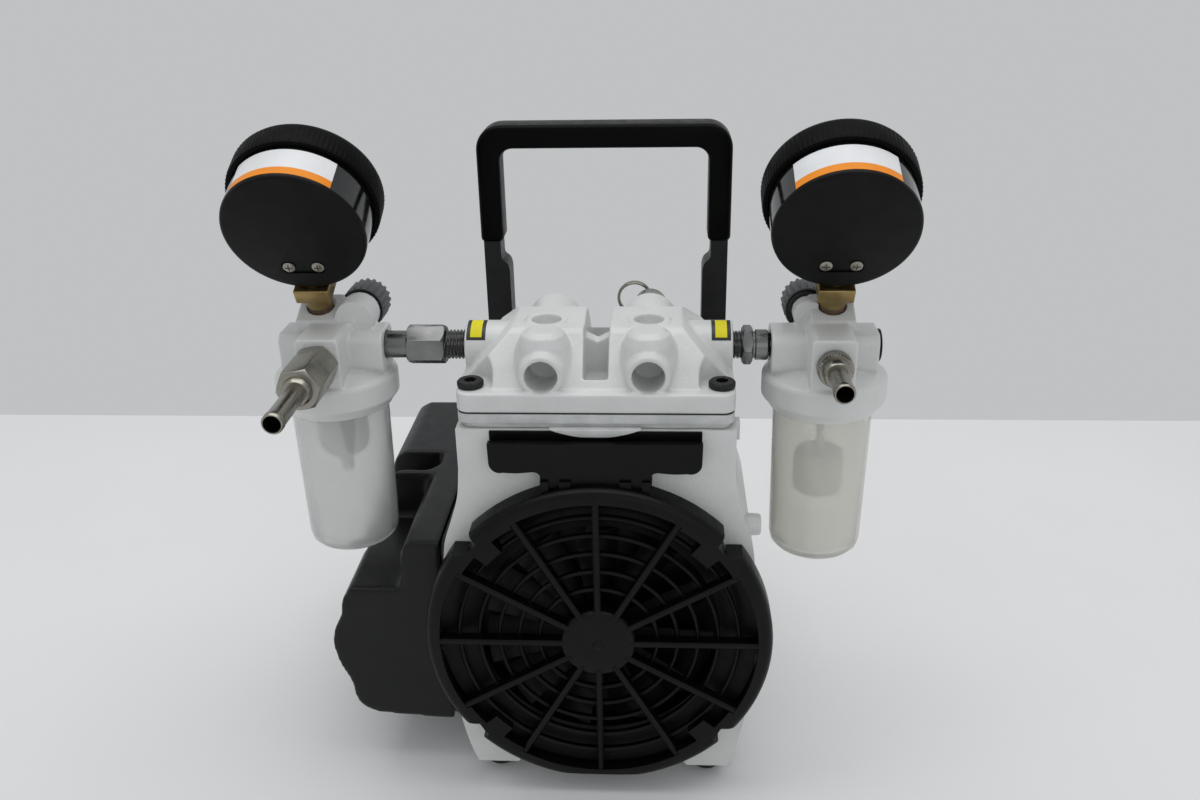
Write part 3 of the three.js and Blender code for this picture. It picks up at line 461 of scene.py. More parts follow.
# ---- camera, floor and light
CAMERA_SPOT = Vector((28.15, -415.13, 394.75))
CAMERA_PITCH, CAMERA_YAW, CAMERA_ROLL = 23.83, 3.44, 1.14
FOCAL_MM, SENSOR_MM = 33.0, 36.0


def camera():
    pitch, yaw, roll = (radians(v) for v in (CAMERA_PITCH, CAMERA_YAW, CAMERA_ROLL))
    forward = Vector((-sin(yaw) * cos(pitch), cos(yaw) * cos(pitch), -sin(pitch)))
    level = Vector((cos(yaw), sin(yaw), 0))
    lift = level.cross(forward)
    right = level * cos(roll) - lift * sin(roll)
    up = level * sin(roll) + lift * cos(roll)
    data = bpy.data.cameras.new("camera")
    data.lens = FOCAL_MM
    data.sensor_width = SENSOR_MM
    data.clip_start = 0.01
    eye = linked("camera", data)
    turn = Matrix((right, up, -forward)).transposed().to_4x4()
    eye.matrix_world = Matrix.Translation(TO_ROW @ CAMERA_SPOT) @ turn
    scene.camera = eye
    scene.view_settings.view_transform = "Standard"


def area_light(name, spot, target, size, power, tint):
    data = bpy.data.lights.new(name, "AREA")
    data.shape = "RECTANGLE"
    data.size, data.size_y = size
    data.energy = power
    data.color = tint
    light = linked(name, data)
    light.location = spot
    light.rotation_euler = (Vector(target) - Vector(spot)).to_track_quat("-Z", "Y").to_euler()


TABLE_SIDE, TABLE_FRONT, TABLE_BACK = 2.0, 1.6, 0.36
ROOM_TINT, ROOM_STRENGTH = (0.86, 0.88, 0.9, 1), 0.61
# name, place and aim in metres, size, power in watts, colour
LIGHTS = [
    ("ceiling", (0.0, 0.05, 1.5), (0, 0, 0.1), (1.8, 1.0), 10.2, (1, 1, 1)),
    ("window", (-1.1, -0.3, 0.9), (0, 0, 0.15), (0.9, 0.9), 0.3, (0.95, 0.98, 1)),
    ("front_fill", (0.5, -1.2, 0.6), (0, 0, 0.15), (1.0, 0.8), 1.1, (1, 1, 1)),
]


def studio():
    # the table ends behind the pump, and the plain room shows beyond it
    code = bmesh.new()
    corners = [(-TABLE_SIDE, -TABLE_FRONT, 0), (TABLE_SIDE, -TABLE_FRONT, 0),
               (TABLE_SIDE, TABLE_BACK, 0), (-TABLE_SIDE, TABLE_BACK, 0)]
    code.faces.new([code.verts.new(corner) for corner in corners])
    floor = new_shape(code)
    floor.name = "floor"
    floor.data.materials.append(surface("pale_table", (0.78, 0.78, 0.78), (0.81, 0.81, 0.81), (0.55, 0.65),
        mottle=3, grain=200, bump=0.05))
    floor.data.shade_smooth()
    world = bpy.data.worlds.new("soft_room")
    world.use_nodes = True
    sky = world.node_tree.nodes["Background"]
    sky.inputs["Color"].default_value = ROOM_TINT
    sky.inputs["Strength"].default_value = ROOM_STRENGTH
    scene.world = world
    for light in LIGHTS:
        area_light(*light)


# ---- crankcase, feet and motor
def case_outline():
    lower = flowing([(62, 7), (65.6, 18), (69.2, 36), (71, 56)])
    upper = flowing([(71, 126), (69.6, 135), (65.6, 147), (62.4, 158), (61, 172)])
    right = [(42, 7)] + lower + upper + [(61, DECK_Z)]
    return right + [(-x, z) for x, z in reversed(right)] + [(-37, 13), (-35, 14), (35, 14), (37, 13)]


def crankcase():
    body = prism("y", CASE_FRONT, CASE_REAR, case_outline())
    body = carve(
        body,
        shaft(CASE_FRONT - 1, 88, 58, 96),
        shaft(87, CASE_REAR + 1, 16.3),
        rod("z", CRANK_Z, DECK_Z + 1, 0, CYLINDER_Y, 34),
        rod("z", DECK_Z - 4, DECK_Z + 1, 0, CYLINDER_Y, 43.4),
        fuse(
            prism("y", CASE_FRONT - 1, 24, rounded(-46.5, 46.5, 173, DECK_Z - 4.2, 5)),
            prism("y", CASE_FRONT - 1, 24, rounded(-24.6, 24.6, 140, 178, 3)),
        ),
        block(70.4, 72, 27, 28.4, 150, 156),
    )
    body = eased(body, 1.1, 3, 40)
    # two round foundry bosses and a lug stand on the right flank
    flank = fuse(
        turned("x", 34, 133, [(0, 68), (5.4, 68), (5, 74.2), (4.2, 75), (0, 75)], 40),
        prism("x", 59, 63.5, rounded(30, 38, 178, 187, 2)),
    )
    flank = fuse(flank, turned("x", 34, 112, [(0, 69), (3.6, 69), (3.2, 72.6), (0, 72.9)], 32))
    show(fuse(body, flank), "crankcase_casting", "enamel", ["crankcase_housing"])


def feet():
    for name, (x, y) in {
        "front_left": (-52, 25), "front_right": (52, 25), "rear_left": (-52, 160), "rear_right": (52, 160),
    }.items():
        pad = turned("z", x, y, [(0, 0), (5.2, 0), (7.0, 0.8), (8.2, 2.4), (8.6, 4.4), (8.6, 6.0),
            (0, 6.0)], 48)
        show(eased(pad, 0.3), f"rubber_foot_{name}", "rubber", [f"foot_{name}"], sharp=50)
        washer = turned("z", x, y, [(0, 6.0), (8.7, 6.0), (8.7, 6.9), (0, 6.9)], 40)
        show(washer, f"foot_washer_{name}", "rust")


def motor():
    shell = wheel([
        (MOTOR_RADIUS - 3, 97.3), (MOTOR_RADIUS, 97.3), (MOTOR_RADIUS, MOTOR_REAR),
        (MOTOR_RADIUS - 3, MOTOR_REAR)], 120)
    show(eased(shell, 0.6), "motor_can", "enamel", ["motor_shell"])

    legs = [(42, 7), (62, 7), (60.8, 20), (59, 34), (54, 50), (50, 62), (-50, 62), (-54, 50), (-59, 34),
            (-60.8, 20), (-62, 7), (-42, 7), (-37, 19), (-34, 24), (34, 24), (37, 19)]
    bell = fuse(
        wheel([(0, 150.3), (MOTOR_RADIUS, 150.3), (MOTOR_RADIUS, BELL_REAR - 2),
            (MOTOR_RADIUS - 2, BELL_REAR), (0, BELL_REAR)], 120),
        prism("y", 152, BELL_REAR, legs),
    )
    bell = carve(
        bell,
        shaft(149, 158, 51),
        shaft(149, BELL_REAR - 3, 16.3),
        shaft(149, BELL_REAR + 1, 9),
        *[rod("y", 149, BELL_REAR + 1, *polar(0, CRANK_Z, 34, 22.5 + 45 * k), 6.5, 32) for k in range(8)],
    )
    show(eased(bell, 0.9, 3, 40), "rear_end_bell_casting", "enamel", ["rear_end_bell"])

    cover = carve(
        wheel([(0, 170.3), (MOTOR_RADIUS, 170.3), (MOTOR_RADIUS, 186), (MOTOR_RADIUS - 1.5, 190.2),
            (MOTOR_RADIUS - 5, COVER_REAR), (0, COVER_REAR)], 120),
        wheel([(0, 169), (MOTOR_RADIUS - 3, 169), (MOTOR_RADIUS - 3, 187), (MOTOR_RADIUS - 6, 189.4),
            (0, 189.4)], 120),
    )
    slots = []
    for k in range(16):
        slot = prism("y", 186, COVER_REAR + 1, rounded(-2.4, 2.4, 16, 44, 2.3, 4))
        slots.append(moved(slot, z=CRANK_Z, turn=k * 22.5))
    show(eased(carve(cover, *slots), 0.4, 2, 40), "rear_fan_cowl", "moulded", ["rear_fan_cover"])


def fan(name, node, y0, y1, tip):
    hub = wheel([(0, y0), (9, y0), (13.5, y0 + 0.8), (15, y0 + 2.4), (15, y1), (0, y1)], 64)
    hub = carve(hub, shaft(y0 - 1, y1 + 1, 6.3))
    middle = (y0 + y1) / 2
    vanes = []
    for k in range(FAN_BLADES):
        rows = []
        for step in range(7):
            radius = 13.5 + (tip - 13.5) * step / 6
            chord = 6 + 5.5 * step / 6
            lean = radians(62 - 4 * step / 6)
            upper, lower = [], []
            for place in range(7):
                s = 2 * place / 6 - 1
                camber = 0.9 * (1 - s * s)
                for side, store in ((0.75, upper), (-0.75, lower)):
                    offset = camber + side * (1 - 0.7 * s * s)
                    across = chord * s * sin(lean) + offset * cos(lean)
                    deep = chord * s * cos(lean) - offset * sin(lean)
                    store.append((across, middle + deep * 0.86, sqrt(radius ** 2 - across ** 2)))
            rows.append(upper + lower[::-1][1:-1])
        vanes.append(moved(skin(rows), z=CRANK_Z, turn=360 * k / FAN_BLADES))
    show(fuse(hub, *vanes), name, "blade", [node], body="crank")


# ---- fan guard
def guard_rim():
    outline = [polar(0, CRANK_Z, GUARD_RADIUS, turn) for turn in range(-72, 253, 2)]
    rounding = wheel([
        (0, 0), (76.6, 0), (78.2, 0.5), (79.3, 1.6), (79.9, 3.2), (GUARD_RADIUS + 1, 6),
        (GUARD_RADIUS + 1, 12.8), (0, 12.8)], 180)
    rim = overlap(prism("y", 0, 12.8, outline), rounding)
    notches = []
    for side in (-1, 1):
        for lift in (-1, 1):
            corner = [polar(0, 0, 84, 45.2), polar(0, 0, 75.2, 44.8), polar(0, 0, 75, 42.4),
                (57.4, 46.8), (72, 46.8)]
            notches.append(prism("y", -1, 14, [(side * u, CRANK_Z + lift * v) for u, v in corner]))
    return carve(
        rim,
        shaft(-1, 3.4, GUARD_MOUTH, 144),
        shaft(3.4, 14, 74.3, 144),
        *notches,
    )


def fan_guard():
    parts = []
    for k in range(12):
        bar = prism("z", GUARD_HUB - 3, 74.2, [(-1.5, 0.9), (-0.8, 0.2), (0.8, 0.2), (1.5, 0.9),
            (1.3, 6.4), (-1.3, 6.4)])
        parts.append(moved(bar, z=CRANK_Z, turn=30 * k))
    for radius in RING_RADII:
        parts.append(wheel([
            (radius - 0.9, 4.4), (radius - 0.3, 3.8), (radius + 0.3, 3.8), (radius + 0.9, 4.4),
            (radius + 0.7, 6.8), (radius - 0.7, 6.8)], 144))
    for middle in (45, 135, 225, 315):
        # in each diagonal sector a web and a lip narrow the last band
        web = arc(0, CRANK_Z, 74.2, middle - 4.5, middle + 4.5, 6)
        web += arc(0, CRANK_Z, RING_RADII[-1], middle + 4.5, middle - 4.5, 6)
        parts.append(prism("y", 0, 5.8, web))
        lip = arc(0, CRANK_Z, 74.2, middle - 14, middle + 14, 14)
        parts.append(prism("y", 0, 4.6, lip + arc(0, CRANK_Z, 71.2, middle + 14, middle - 14, 14)))
    parts.append(wheel([
        (0, -1.6), (1.6, -1.5), (2.2, -1.1), (2.6, -0.5), (4.5, -0.55), (9.5, -0.2), (14, 0.3), (16.6, 0.9),
        (GUARD_HUB, 2), (GUARD_HUB, 6.6), (0, 6.6)], 96))
    # T-shaped shroud: arms, two set-back bands and four tabs
    arms = (
        [(-24, 166), (24, 166), (24, 172.4), (25.2, 173.6)]
        + flowing([(27, 174), (34, 173.4), (40, 173.6)], 4)
        + arc(41.4, 178.2, 4.8, -90, 0, 6) + [(46.4, 187.4), (-46.4, 187.4)]
        + arc(-41.4, 178.2, 4.8, 180, 270, 6) + flowing([(-40, 173.6), (-34, 173.4), (-27, 174)], 4)
        + [(-25.2, 173.6), (-24, 172.4)]
    )
    parts.append(prism("y", 6, 9.6, arms))
    parts.append(prism("y", 8.8, 14.2, rounded(-46.2, 46.2, 182, DECK_Z - 4.6, 1.5)))
    parts.append(prism("y", 12.4, 14.2, rounded(-46.2, 46.2, 182, DECK_Z - 0.4, 0.5)))
    for x0, x1, z0 in ((-15.6, -10.6, 160), (10.6, 15.6, 160), (-24, -20.4, 156), (20.4, 24, 156)):
        parts.append(block(x0, x1, 4.5, 9.4, z0, 170))
    guard = fuse(guard_rim(), *parts)
    show(eased(guard, 0.32, 2, 50), "fan_guard_moulding", "moulded", ["fan_guard"])
    # a black liner behind the rings is painted shade: it stands in for the shade inside the fan chamber and
    # keeps the pale crankcase from showing between the rings
    shade_liner = wheel([
        (73.8, 7.2), (73.8, 8.4), (57.6, 12.2), (57.6, 23), (27, 23.6), (27, 22.4), (56.4, 21.8),
        (56.4, 11.6)], 120)
    show(shade_liner, "painted_shade_liner", "blade")


# ---- head and valve plate
def screw_places():
    rows = (HEAD_FRONT + SCREW_INSET, HEAD_REAR - SCREW_INSET)
    return [(x, y) for y in rows for x in (-SCREW_X, SCREW_X)]


def wavy_plate():
    def layer(low, high, inset, wave, count):
        outline = rounded(-HEAD_HALF + inset, HEAD_HALF - inset, HEAD_FRONT + 0.3 + inset,
            HEAD_REAR - 0.3 - inset, 5, 8)
        fine = []
        for (x0, y0), (x1, y1) in zip(outline, outline[1:] + outline[:1]):
            steps = max(1, round(hypot(x1 - x0, y1 - y0) / 1.5))
            for i in range(steps):
                x, y = x0 + (x1 - x0) * i / steps, y0 + (y1 - y0) * i / steps
                shrink = 1 - wave * (1 + sin((x + 0.7 * y) / 120 * tau * count)) / 120
                fine.append((x * shrink, CYLINDER_Y + (y - CYLINDER_Y) * shrink))
        return prism("z", low, high, fine)

    front = flowing([(-33, 12.6), (-24, 11.4), (-12, 10.5), (0, 10.2), (12, 10.5), (24, 11.4),
        (33, 12.6)], 5)
    lip = prism("z", 188.9, 192, front + [(33, 26), (-33, 26)])
    ledge = turned("y", 0, 0, [(0, 9.8), (60, 9.8), (60, 30), (0, 30)], 160)
    lip = overlap(lip, moved(ledge, z=DECK_Z + 57.6))
    plate = fuse(layer(191.3, 194.2, 1.5, 0.5, 5), layer(193.9, 198, 0.0, 0.3, 7), lip)
    ports = [rod("z", 190, 199, x, y, 5, 32) for x, y in ((-17, 60), (17, 50))]
    show(eased(carve(plate, *ports), 0.45, 3, 45), "valve_plate_casting", "plate", ["valve_plate"])
    gasket = carve(
        prism("z", 198.05, 198.65, rounded(-HEAD_HALF + 0.5, HEAD_HALF - 0.5, HEAD_FRONT + 0.8,
            HEAD_REAR - 0.8, 5)),
        block(-48, -9, 26, 84, 197, 200),
        block(9, 48, 26, 84, 197, 200),
    )
    show(gasket, "head_gasket_sheet", "rubber", ["head_gasket"])


def cylinder_head():
    head = prism("z", HEAD_BASE, FLANGE_TOP, rounded(-HEAD_HALF, HEAD_HALF, HEAD_FRONT, HEAD_REAR, 6, 8))
    roof = [(18, FLANGE_TOP - 1), (92, FLANGE_TOP - 1), (84, 216), (71, HEAD_TOP - 1.5), (68, HEAD_TOP),
            (40, HEAD_TOP), (37, HEAD_TOP - 1.5), (26, 216)]
    # a hipped roof: the ends slope like the front and the rear
    hips = [
        prism("y", 8, 102, [(side * 36.5, 230), (side * 64, 230), (side * 64, 202.5)])
        for side in (-1, 1)
    ]
    parts = [carve(prism("x", -59, 59, roof), *hips)]
    for side in (-1, 1):
        x = side * PORT_SPREAD
        # a half cone narrows upward round a short bored boss
        parts += [
            turned("z", x, 31, [(0, 202), (15.6, 202), (15.2, 207), (13.4, 216), (11.2, 225), (9.4, 229),
                (6, 231), (0, 231)]),
            turned("y", x, BOSS_Z, [(0, 15.3), (8.6, 15.3), (9.6, 16.2), (10.6, 24), (0, 24)]),
            rod("y", 64, 92, x, 214, 13.2),
            turned("y", x, 214, [(0, 90), (13.2, 90), (11, 92.6), (7, 94), (0, 94.4)]),
            rod("x", *span(side, 38, HEAD_HALF), CYLINDER_Y, PORT_Z, 11.2),
            rod("z", 220, HEAD_TOP + 0.9, x, FEED_Y, 9.2),
        ]
    head = fuse(head, *parts)
    tools = [rod("z", FLANGE_TOP, 240, x, y, 9.8) for x, y in screw_places()]
    # a slot down the middle, bridged by a web with a V-shaped top
    slot = [(-5.4, 204.5), (5.4, 204.5), (5.7, 240), (-5.7, 240)]
    tools += [
        prism("y", 22, 44.5, slot),
        prism("y", 51.5, 88, slot),
        prism("y", 40, 56, [(0, 220), (5.5, 222.8), (5.5, 240), (-5.5, 240), (-5.5, 222.8)]),
    ]
    for side in (-1, 1):
        tools += [
            rod("y", 10, 33, side * PORT_SPREAD, BOSS_Z, BOSS_BORE),
            rod("z", 224.2, 240, side * PORT_SPREAD, FEED_Y, FEED_BORE),
            rod("x", *span(side, 47, 62), CYLINDER_Y, PORT_Z, 6.9),
            block(*span(side, 9, 46), 30, 80, HEAD_BASE - 1, 202),
        ]
    tools.append(rod("y", 84, 96, PORT_SPREAD, PORT_Z, 5.4))
    head = cast(carve(head, *tools), 0.62, 5, 0.3)
    # the flat underside is cut again after the softening
    head = carve(head, block(-70, 70, 0, 110, 190, HEAD_BASE + 0.05))
    show(head, "cylinder_head_casting", "enamel", ["cylinder_head"], sharp=60)

    def knurl(share, row):
        return 0.12 * cos(share * 36 * tau) if 2 <= row <= 3 else 0

    cap_line = [(0, 207.7), (5.6, 207.7), (5.7, 208.2), (5.7, 209.9), (5.2, 210.5), (0, 210.7)]
    for index, (x, y) in enumerate(screw_places()):
        cap = fuse(turned("z", x, y, cap_line, 72, knurl), rod("z", 171, 208, x, y, 3, 32))
        cap = carve(cap, prism("z", 208.6, 215, [polar(x, y, 2.9, 20 + 60 * k) for k in range(6)]))
        show(cap, f"socket_screw_{index + 1}", "dark_steel", [f"head_screw_{index + 1}"])


def head_labels():
    for side, name in ((-1, "left"), (1, "right")):
        low, high = span(side, 50.8, 59.4)
        border = patch("x", low, high, CYLINDER_Y, PORT_Z, 11.1, 0.16, 80, 150)
        show(border, f"port_label_border_{name}", "ink")
        field = patch("x", low + 1.7, high - 1.7, CYLINDER_Y, PORT_Z, 11.2, 0.16, 84, 143)
        show(field, f"port_label_{name}", "yellow")


def relief_valve():
    x, z = PORT_SPREAD, PORT_Z
    body = fuse(
        thread("y", 86, 96, x, z, 5.1, 1.2, 0.6, 32),
        hex_nut("y", 93.4, 103, x, z, 11.4),
        turned("y", x, z, [(0, 102), (6.2, 102), (8, 103.4), (8, 112.4), (6.9, 114.6), (4.4, 115),
            (0, 115)], 48),
    )
    body = carve(body, rod("y", 98, 116, x, z, 3, 32))
    show(body, "relief_valve_barrel", "nickel", ["relief_valve_body"])
    stem = fuse(
        rod("y", 100, 118, x, z, 2.5, 32),
        turned("y", x, z, [(0, 117), (3.0, 117), (3.4, 117.6), (3.4, 124.2), (2.6, 125), (0, 125)], 40),
    )
    ring_y, ring_radius, wire_wide, wire_thick, steps, sides = 122, 8.2, 1.15, 0.75, 96, 10
    stem = carve(stem, rod("z", z - 5, z + 5, x, ring_y, 1.9, 24))
    show(stem, "relief_pull_stem", "steel", ["relief_stem"], body="relief_stem")
    # split ring: two turns of wire side by side
    rows = []
    for step in range(steps + 1):
        turn = 15 + 690 * step / steps
        u, v = polar(x - ring_radius, z, ring_radius, turn)
        spot = Vector((u, ring_y + 2.6 * step / steps - 1.3, v))
        out = Vector((cos(radians(turn)), 0, sin(radians(turn))))
        row = []
        for k in range(sides):
            angle = k * tau / sides
            row.append(tuple(
                spot + out * (wire_thick * cos(angle)) + Vector((0, wire_wide * sin(angle), 0))))
        rows.append(row)
    show(skin(rows), "relief_split_ring", "nickel", ["relief_pull_ring"], body="relief_pull_ring")


# ---- handle
def handle():
    outer = HANDLE_HALF + 1.2
    inner = outer - 11.4
    foot = 244
    outline = (
        [(outer, foot)] + arc(outer - 12, HANDLE_TOP - 12, 12, 0, 90, 10)
        + arc(-outer + 12, HANDLE_TOP - 12, 12, 90, 180, 10) + [(-outer, foot), (-inner, foot)]
        + arc(-inner + 6.5, HANDLE_TOP - 17.9, 6.5, 180, 90, 8)
        + arc(inner - 6.5, HANDLE_TOP - 17.9, 6.5, 90, 0, 8)
        + [(inner, foot)]
    )
    grip = eased(prism("y", HANDLE_Y - 9, HANDLE_Y + 9, outline), 2.6, 5, 40)
    rooms = []
    for side in (-1, 1):
        low, high = span(side, HANDLE_HALF - 8.8, HANDLE_HALF + 0.3)
        rooms.append(block(low, high, HANDLE_Y - 7.3, HANDLE_Y + 7.3, foot - 2, 273.3))
    show(carve(grip, *rooms), "handle_grip_moulding", "grip", ["handle_grip"])

    bracket = carve(
        shaft(HANDLE_Y - 7, HANDLE_Y + 7, MOTOR_RADIUS + 5.5, 120),
        block(-90, 90, HANDLE_Y - 8, HANDLE_Y + 8, 0, 100),
    )
    legs = []
    for side in (-1, 1):
        knee = flowing([(53, 238), (52.6, 235), (50, 232.4), (49, 229)], 4)
        leg = [(61.5, 100), (61.5, 273), (53, 273)] + knee + [(49, 122), (57, 104)]
        legs.append(prism("y", HANDLE_Y - 7, HANDLE_Y + 7, [(side * x, z) for x, z in leg]))
    motor_room = shaft(HANDLE_Y - 8, HANDLE_Y + 8, MOTOR_RADIUS + 0.3, 120)
    bracket = carve(fuse(bracket, *legs), motor_room)
    show(eased(bracket, 0.7, 3, 40), "handle_strap", "dark_steel", ["handle_bracket"])


# ---- electrical box
def side_box():
    left = flowing([(-112, 28), (-119, 31), (-123.5, 37), (-125, 47), (-129.5, 58), (-131.5, 69),
        (-130, 78), (-126, 86), (-124.5, 95), (-121, 101), (-118, 120), (-115, 125), (-110, BOX_TOP)], 4)
    skin_line = [(BOX_INNER, 25)] + left + [(BOX_INNER, BOX_TOP)]
    shoulder = (
        [(-98, BOX_STEP), (-95.5, 103.5)]
        + flowing([(-94.6, 106), (-94.2, 118), (-92.4, 124.6), (-88, 129)], 4)
        + [(-140, 129), (-140, BOX_STEP)]
    )
    scoop = (
        [(-94, 97)] + arc(-104, 80, 17, 75, 170, 10)
        + [(-122, 66), (-140, 64), (-140, 117), (-90, 117), (-89, 104)]
    )
    body = carve(
        prism("y", BOX_FRONT, BOX_REAR, skin_line),
        prism("y", BOX_FRONT - 1, 92, shoulder),
        prism("z", 72, BOX_TOP + 5, scoop),
    )
    room = fuse(
        block(-110, BOX_INNER + 2, BOX_FRONT + 4, BOX_REAR - 4, 31, 66),
        block(-89, BOX_INNER + 2, BOX_FRONT + 4, BOX_REAR - 4, 60, 123),
    )
    body = cast(carve(body, room), 1.25, 7, 0.45)
    body = carve(
        body,
        block(BOX_INNER - 0.5, BOX_INNER + 3, 0, 200, 0, 140),
        prism("y", BOX_REAR - 8, BOX_REAR + 1, rounded(-104.5, -83.5, 96, 112, 1.5)),
        prism("y", BOX_REAR - 20, BOX_REAR + 1, rounded(-111.5, -81.5, 48, 72, 1.5)),
    )
    show(body, "side_box_moulding", "box", ["side_box_cover"], sharp=50)

    plate = eased(prism("x", BOX_INNER + 0.3, -71.6, rounded(BOX_FRONT + 1, BOX_REAR - 1, 27, 127, 4)), 0.4)
    show(plate, "side_box_backplate", "dark_steel", ["side_box_plate"])

    y = BOX_REAR
    inlet = carve(
        fuse(
            eased(prism("y", y + 0.3, y + 2.5, rounded(-113, -80, 46.5, 73.5, 2.5)), 0.5),
            prism("y", y - 14, y + 1, rounded(-111, -82, 48.5, 71.5, 1.5)),
        ),
        prism("y", y - 11, y + 4, [(-108.5, 52), (-84.5, 52), (-84.5, 63), (-89.5, 68), (-103.5, 68),
            (-108.5, 63)]),
    )
    show(inlet, "power_inlet_shell", "moulded", ["power_inlet"])
    pins = [eased(block(x - 0.8, x + 0.8, y - 12, y - 2, 58, 62), 0.3) for x in (-102.5, -96.5, -90.5)]
    show(gathered(*pins), "power_inlet_pins", "nickel")

    frame_bezel = carve(
        eased(prism("y", y - 2, y + 1.4, rounded(-106, -82, 94.6, 113.4, 2)), 0.5),
        block(-102.3, -85.7, y - 4, y + 3, 97, 111),
    )
    show(frame_bezel, "rocker_frame", "moulded")
    dished = flowing([(7.2, -5.4), (5, 0), (7.2, 5.4)], 5)
    rocker = prism("x", -102, -86, [(-1, -6), (3, -6)] + dished + [(3, 6), (-1, 6)])
    rocker = moved(eased(rocker, 0.4), 0, y - 4, 104, 8, "X")
    show(rocker, "rocker_key", "gloss", ["rocker_switch"], body="rocker_switch")


# ---- regulators, bowls and fittings
def regulator(side):
    facts = SIDES[side]
    away, gauge_x, knob_x = facts["away"], facts["gauge_x"], facts["knob_x"]
    place = Matrix.Translation((facts["x"], CYLINDER_Y, 0))
    tilt = radians(GAUGE_TILT)
    tower_y = GAUGE_PORT_Y - CYLINDER_Y

    def along(reach):
        return (tower_y + reach * cos(tilt), GAUGE_PORT_Z + reach * sin(tilt))

    body = fuse(
        turned("z", 0, 0, [(0, 186), (24.6, 186), (25.2, 187.4), (28.4, 191.4), (28.4, 200.6),
            (27.6, 202.2), (25, 203.2), (18, 205.4), (0, 207)], 96),
        prism("x", *sorted((-away * PORT_REACH, away * OUTER_REACH)),
            rounded(-10.9, 10.9, 203.4, 222.8, 5)),
        prism("y", -PORT_REACH, 6, rounded(-9.8, 9.8, 198, 226, 2.4)),
        rod("y", min(facts["bonnet_y"], 4), 12, knob_x, KNOB_Z, 9.0 if away < 0 else 7),
        block(*sorted((0, knob_x)), -4, 12, 206, 226.4),
        prism("x", gauge_x - 9.9, gauge_x + 9.9, [(-4, 206), (12.4, 206), along(7.6), along(-10.3)]),
    )
    tools = [
        rod("z", 185, 199, 0, 0, 23.2),
        rod("y", -PORT_REACH - 1, -PORT_REACH + 12, 0, PORT_Z, 6.3),
        rod("x", *sorted((-away * 14, -away * 27)), 0, PORT_Z, 6.3),
        moved(rod("z", -5.5, 2, 0, 0, 6.4), gauge_x, tower_y, GAUGE_PORT_Z, GAUGE_TILT, "X"),
    ]
    if away > 0:
        tools.append(rod("x", 12, 27, 0, PORT_Z, 6.3))
    body = cast(carve(body, *tools), 0.5, 3, 0.35)
    show(body, f"regulator_casting_{side}", "enamel", [f"regulator_body_{side}"], place=place, sharp=60)

    floor = facts["floor"]
    bowl = turned("z", 0, 0, [
        (0, floor + 0.6), (9, floor + 0.3), (16.4, floor), (19.2, floor + 0.8), (20.9, floor + 2.8),
        (21.6, floor + 6), (22.8, 197), (22.8, 198.6), (21.4, 198.6), (21.4, 196), (20.3, floor + 8),
        (18.8, floor + 4), (14, floor + 2.4), (0, floor + 2.4)], 96)
    clear = "bowl" if away > 0 else "bowl_white"
    show(bowl, f"frosted_bowl_{side}", clear, [f"filter_bowl_{side}"], place=place, sharp=60)

    if away > 0:
        # a dip tube with a porous puck at its foot
        drum = fuse(
            turned("z", 0, 0, [(0, 141), (9.5, 141), (11.2, 142), (11.8, 145), (11.8, 158), (11.2, 161),
                (9, 162.4), (0, 162.4)], 48),
            prism("z", 160, 198.6, circle(0, 0, 1.8, 20)),
        )
        drum = fuse(drum, turned("z", 0, 0, [(0, 192), (8, 192), (9.5, 194), (9.5, 198.6), (0, 198.6)], 40))
    else:
        drum = turned("z", 0, 0, [
            (0, 150), (2.4, 150), (3, 151), (3, 158), (8, 160), (11, 163), (12, 167), (12, 182),
            (10.5, 184.4), (10.5, 198.6), (0, 198.6)], 48)
        fin = eased(prism("y", -17.2, -16.2, [(2.6, 196), (11.6, 196), (10.8, 180), (9.6, 170),
            (8.2, 166), (6.4, 166.6), (5, 172)]), 0.3)
        show(fin, f"filter_fin_{side}", "fin", place=place)
    show(drum, f"filter_drum_{side}", "sinter", [f"filter_element_{side}"], place=place, sharp=60)

    outline = []
    for k in range(KNOB_TEETH * 8):
        wave = max(-0.7, min(0.8, 1.5 * cos(k / 8 * tau)))
        outline.append(polar(knob_x, KNOB_Z, 9.9 + 0.55 * wave, 360 * k / KNOB_TEETH / 8))
    knob = eased(prism("y", 14.6, 29, outline), 0.35, 2, 60)
    knob = fuse(
        knob,
        rod("y", 13.4, 15.4, knob_x, KNOB_Z, 10.1),
        rod("y", 8, 16, knob_x, KNOB_Z, 3.4, 32),
        turned("y", knob_x, KNOB_Z, [(0, 28), (7.6, 28), (7.6, 29.0), (6.8, 29.6), (0, 29.7)]),
    )
    knob = carve(knob, turned("y", knob_x, KNOB_Z, [(9.3, 13), (9.3, 15.6), (4, 15.6), (4, 13)]))
    show(knob, f"knurled_knob_{side}", "grey", [f"needle_valve_knob_{side}"],
         body=f"knob_{side}", place=place, sharp=50)

    collar = carve(
        turned("y", knob_x, KNOB_Z, [(0, 12.2), (8.2, 12.2), (8.8, 12.8), (8.8, 15.2), (0, 15.2)], 48),
        rod("y", 12, 16, knob_x, KNOB_Z, 3.7, 32),
    )
    show(collar, f"knob_collar_{side}", "rubber", place=place)
    hose_barb(side, place)
    nipple(side)
    if away > 0:
        plug = fuse(
            eased(rod("x", OUTER_REACH + 0.2, OUTER_REACH + 1.8, 0, PORT_Z, 7.4, 48), 0.4),
            rod("x", 14, OUTER_REACH + 1, 0, PORT_Z, 5.7, 32),
        )
        socket = [polar(0, PORT_Z, 3.2, 60 * k) for k in range(6)]
        plug = carve(plug, prism("x", OUTER_REACH + 0.9, OUTER_REACH + 3, socket))
        show(plug, "blanking_plug", "moulded", ["port_plug_right"], place=place)
    gauge(side)


